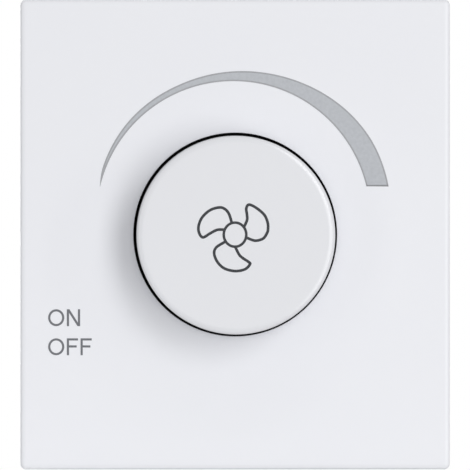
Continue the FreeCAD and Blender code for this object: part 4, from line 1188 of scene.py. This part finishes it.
@dataclass
class FanSymbol:
    """The printed fan on the knob: a hub ring and three outlined blades."""

    middle: Flat = (-0.104, 0.06)
    hub: Flat = (1.17, 1.25)
    hub_line: float = 0.27
    hub_steps: int = 64
    blade_line: float = 0.29
    front: float = -15.0
    rear: float = -14.97
    # How far the blades' film lies behind the hub's, so that the two don't share a plane.
    step: float = 0.006
    # Each blade's outline from hub to hub, from the fan's middle.
    blades: tuple[tuple[Flat, ...], ...] = (
        ((0.94, 0.80), (1.25, 1.52), (1.24, 2.10), (1.17, 2.72), (1.44, 3.11), (2.14, 2.82), (3.01, 2.09),
         (3.38, 1.29), (3.43, 0.63), (3.34, 0.20), (2.94, -0.39), (2.25, -0.62), (1.77, -0.55),
         (1.14, -0.28)),
        ((-0.34, 1.24), (-0.63, 2.16), (-1.07, 2.67), (-1.66, 2.82), (-2.60, 2.53), (-3.40, 1.80),
         (-3.77, 0.93), (-3.73, 0.20), (-3.33, -0.28), (-2.60, 0.12), (-1.87, 0.49), (-1.16, 0.52)),
        ((0.03, -1.28), (0.53, -2.20), (1.41, -2.83), (1.55, -3.08), (1.04, -3.59), (0.02, -3.78),
         (-1.07, -3.52), (-1.80, -2.87), (-2.16, -1.99), (-1.95, -1.33), (-1.02, -0.74)),
    )

    def build(self) -> None:
        """Makes the hub ring and the blades as thin films on the knob."""
        draft = Draft()
        x, z = self.middle
        circle = round_path(self.hub, self.hub_steps, self.middle)
        draft.stroke(circle, self.hub_line, self.front, self.rear, True)
        for blade in self.blades:
            path = smooth_path([(x + right, z + up) for right, up in blade])
            draft.stroke(path, self.blade_line, self.front + self.step, self.rear, False)
        place(draft.mesh("fan_symbol"), Body.DIAL, ["symbol_ink"])


@dataclass(frozen=True)
class SoftenedNode:
    """A CAD node whose edges are broken as moulding, stamping or turning leaves them."""

    node: str
    body: Body
    slot: str
    edge: float
    segments: int = 2

    def build(self) -> None:
        """Copies the node's mesh, merges it, breaks its edges and puts it in the node's place."""
        source = frame["nodes"][self.node].data
        mesh = bpy.data.meshes.new(self.node + "_dressed")
        mesh.from_pydata([tuple(v.co) for v in source.vertices], [],
                         [tuple(p.vertices) for p in source.polygons])
        tidy_mesh(mesh, cad=True)
        bevel = {"width": self.edge * MM, "segments": self.segments, "limit_method": "ANGLE",
                 "angle_limit": math.radians(SHARP), "use_clamp_overlap": True}
        place(settle(mesh, {"BEVEL": bevel}), self.body, [self.slot], [self.node])


@dataclass
class Works:
    """The control, its cooling plate, the board and the terminals behind the cover."""

    softened: tuple[SoftenedNode, ...] = (
        SoftenedNode("rear_housing", Body.BASE, "housing_plastic", 0.18),
        SoftenedNode("cooling_plate", Body.BASE, "sheet_aluminium", 0.08),
        SoftenedNode("mains_capacitor", Body.BASE, "capacitor_case", 0.15),
        SoftenedNode("timing_capacitor", Body.BASE, "timing_case", 0.15),
        SoftenedNode("terminal_screw_left", Body.SCREW_LEFT, "plated_steel", 0.08),
        SoftenedNode("terminal_screw_right", Body.SCREW_RIGHT, "plated_steel", 0.08),
        SoftenedNode("terminal_cage_left", Body.CAGE_LEFT, "plated_steel", 0.1),
        SoftenedNode("terminal_cage_right", Body.CAGE_RIGHT, "plated_steel", 0.1),
    )
    winding_radius: float = 3.95
    wire: float = 0.17
    turns: float = 20.0
    # Where the winding starts, on the choke's axis.
    winding_start: Point = (14.225, 5.9, 0.0)
    winding_length: float = 7.0
    board_rear: float = 15.8
    solder_foot: float = 0.75
    solder_tip: float = 0.28
    solder_height: float = 0.7
    # Rows of soldered pins on the board: x and z of a row's middle, and each pin's offset along x. In order:
    # the control's lugs, the triac, the switch's lugs, the trigger diode, the fuse and two resistors.
    solder_rows: tuple[tuple[float, float, tuple[float, ...]], ...] = (
        (0.0, -9.1, (-3.4, 0.0, 3.4)), (-14.225, 4.95, (-2.3, 0.0, 2.3)), (0.0, 4.375, (-3.4, 3.4)),
        (-14.225, -4.0, (-3.0, 3.0)), (14.225, -7.6, (-3.8, 3.8)), (-14.225, -7.4, (-3.6, 3.6)),
        (-14.225, -0.6, (-3.6, 3.6)),
    )

    def build_winding(self) -> None:
        """Winds the choke."""
        seed = bpy.data.meshes.new("winding_seed")
        mesh = wound_wire().run("choke_wire", seed, "enamelled_copper", {
            "Radius": self.winding_radius * MM, "Wire": self.wire * MM, "Turns": self.turns,
            "Length": self.winding_length * MM, "Start": [c * MM for c in self.winding_start],
        })
        place(mesh, Body.BASE, ["enamelled_copper"])

    def build_solder(self) -> None:
        """Sets the solder joints on the board's rear."""
        joints = [(x + offset, self.board_rear, z)
                  for x, z, offsets in self.solder_rows for offset in offsets]
        points = bpy.data.meshes.new("solder_points")
        points.from_pydata([tuple(c * MM for c in joint) for joint in joints], [], [])
        mesh = solder_cones().run("solder_joints", points, "solder", {
            "Foot": self.solder_foot * MM, "Tip": self.solder_tip * MM, "Height": self.solder_height * MM,
        })
        place(mesh, Body.BASE, ["solder"])

    def dress(self) -> None:
        """Gives every node that keeps its own shape the finish of its slot."""
        slots = {part["node"]: part["material_slot"] for part in frame["record"]["subparts"]}
        for name, node in frame["nodes"].items():
            if node.hide_render:
                continue
            node.data.materials.clear()
            node.data.materials.append(finish(slots[name]))
            LOG.info("%s: keeps its shape, in %s", name, slots[name])

    def build(self) -> None:
        """Makes the softened pieces, the winding and the solder, and dresses the rest."""
        for node in self.softened:
            node.build()
        self.build_winding()
        self.build_solder()
        self.dress()


def add_facing(name: str, data: bpy.types.ID, back: Vector) -> bpy.types.Object:
    """Adds a lamp or a camera that looks against a direction.

    Args:
        name: Its name.
        data: Its lamp or camera.
        back: Direction from what it looks at to it.

    Returns:
        The object, still at the origin.
    """
    made = add_object(name, data)
    made.rotation_mode = "QUATERNION"
    made.rotation_quaternion = back.to_track_quat("Z", "Y")
    return made


@dataclass(frozen=True)
class SoftBox:
    """A soft box at arm's length, which the camera doesn't see."""

    name: str
    # Direction from the object to the lamp.
    towards: Point
    # Light on a surface that faces it, on the same scale as a sun's.
    strength: float
    # Width and height in metres.
    size: Flat
    # Distance in metres.
    reach: float = 1.2

    def build(self) -> None:
        """Hangs the lamp."""
        data = bpy.data.lights.new(self.name, "AREA")
        data.shape = "RECTANGLE"
        data.size, data.size_y = self.size
        data.energy = math.pi * self.reach ** 2 * self.strength
        lamp = add_facing(self.name, data, Vector(self.towards))
        lamp.location = Vector(self.towards).normalized() * self.reach
        lamp.visible_camera = False


@dataclass(frozen=True)
class SoftSun:
    """A wide soft lamp far away."""

    name: str
    # Direction from the object to the lamp.
    towards: Point
    strength: float
    # Apparent size in degrees.
    softness: float

    def build(self) -> None:
        """Hangs the lamp."""
        data = bpy.data.lights.new(self.name, "SUN")
        data.energy = self.strength
        data.angle = math.radians(self.softness)
        add_facing(self.name, data, Vector(self.towards))


@dataclass
class Studio:
    """White surroundings, soft light from the right and a long lens at the photograph's angle."""

    azimuth: float = -0.7
    elevation: float = 0.6
    # Distance, sensor and clipping of the camera in metres, millimetres and metres.
    distance: float = 1.5
    sensor: float = 36.0
    clip: Flat = (0.01, 20.0)
    frame_width: float = 49.0
    aim: Point = (-0.02, -8.0, -0.05)
    ambient: float = 0.44
    lamps: tuple[SoftBox | SoftSun, ...] = (
        SoftBox("key", (0.36, -0.93, 0.075), 1.15, (0.4, 1.0)),
        SoftBox("high_key", (0.4, -0.87, 0.3), 0.3, (0.4, 0.5)),
        SoftBox("front_fill", (-0.05, -0.99, -0.03), 0.19, (0.5, 0.5)),
        SoftBox("left_fill", (-0.62, -0.78, 0.0), 0.17, (0.3, 0.8)),
        SoftBox("side_strip", (0.8, -0.58, 0.16), 0.1, (0.1, 0.5)),
        SoftBox("top_strip", (0.08, -0.52, 0.85), 0.12, (0.9, 0.1)),
        SoftSun("rear_fill", (-0.3, 0.93, 0.22), 1.8, 60.0),
    )
    # The floor's level, its half width, its front and its rear, and its glow to the camera.
    floor_level: float = -31.5
    floor_reach: float = 500.0
    floor_front: float = -32.0
    floor_rear: float = 240.0
    floor_glow: float = 0.42
    floor_colour: str = "#F4F4F4"

    def seen_only(self, tree: Tree, level: float) -> Socket:
        """Gives a level for what the camera sees, straight or by reflection, and nought for light.

        Args:
            tree: The tree that asks for it.
            level: The level where it is seen.

        Returns:
            The socket that carries it.
        """
        rays = add_node(tree, "ShaderNodeLightPath").outputs
        seen = rays["Is Camera Ray"]
        for other in ("Is Glossy Ray", "Is Transmission Ray"):
            either = add_node(tree, "ShaderNodeMath", {0: seen, 1: rays[other]}, operation="MAXIMUM")
            seen = either.outputs[0]
        return add_node(tree, "ShaderNodeMath", {0: seen, 1: level}, operation="MULTIPLY").outputs[0]

    def world(self) -> None:
        """Makes the surroundings: white to the camera and in reflections, dimmer as a light."""
        world = bpy.data.worlds.new("white_studio")
        bpy.context.scene.world = world
        world.use_nodes = True
        tree = world.node_tree
        tree.nodes.clear()
        light = add_node(tree, "ShaderNodeBackground", {"Color": WHITE, "Strength": self.ambient})
        white = add_node(tree, "ShaderNodeBackground", {"Color": WHITE, "Strength": 1.0})
        mixed = add_node(tree, "ShaderNodeMixShader",
                         {0: self.seen_only(tree, 1.0), 1: light.outputs[0], 2: white.outputs[0]})
        add_node(tree, "ShaderNodeOutputWorld", {"Surface": mixed.outputs[0]})

    def floor(self) -> None:
        """Lays the pale floor, which keeps a soft shadow."""
        material, tree, _ = new_material("pale_floor")
        glow = add_node(tree, "ShaderNodeEmission",
                        {"Color": WHITE, "Strength": self.seen_only(tree, self.floor_glow)})
        paint = add_node(tree, "ShaderNodeBsdfDiffuse", {"Color": linear(self.floor_colour)})
        both = add_node(tree, "ShaderNodeAddShader", {0: paint.outputs[0], 1: glow.outputs[0]})
        add_node(tree, "ShaderNodeOutputMaterial", {"Surface": both.outputs[0]})
        reach, front, rear = self.floor_reach, self.floor_front, self.floor_rear
        corners = [(-reach, front), (reach, front), (reach, rear), (-reach, rear)]
        mesh = bpy.data.meshes.new("floor")
        mesh.from_pydata([(x * MM, y * MM, self.floor_level * MM) for x, y in corners], [], [(0, 1, 2, 3)])
        mesh.materials.append(material)
        add_object("floor", mesh)

    def camera(self) -> None:
        """Sets the camera in front of the cover."""
        data = bpy.data.cameras.new("camera")
        data.sensor_width = self.sensor
        data.lens = self.sensor * self.distance / (self.frame_width * MM)
        data.clip_start, data.clip_end = self.clip
        a, e = math.radians(self.azimuth), math.radians(self.elevation)
        back = Vector((math.sin(a) * math.cos(e), -math.cos(a) * math.cos(e), math.sin(e)))
        lens = add_facing("camera", data, back)
        lens.location = Vector(self.aim) * MM + back * self.distance
        bpy.context.scene.camera = lens

    def build(self) -> None:
        """Sets up surroundings, lamps, floor, camera and the plain view transform."""
        self.world()
        for lamp in self.lamps:
            lamp.build()
        self.floor()
        self.camera()
        bpy.context.scene.view_settings.view_transform = "Standard"


def main() -> None:
    """Builds the pieces in order."""
    logging.basicConfig(level=logging.INFO, format="%(name)s %(message)s")
    Studio().build()
    FrontCover().build()
    SpeedKnob().build()
    SpeedWedge().build()
    Legend().build()
    FanSymbol().build()
    Works().build()


if __name__ == "__main__":
    main()
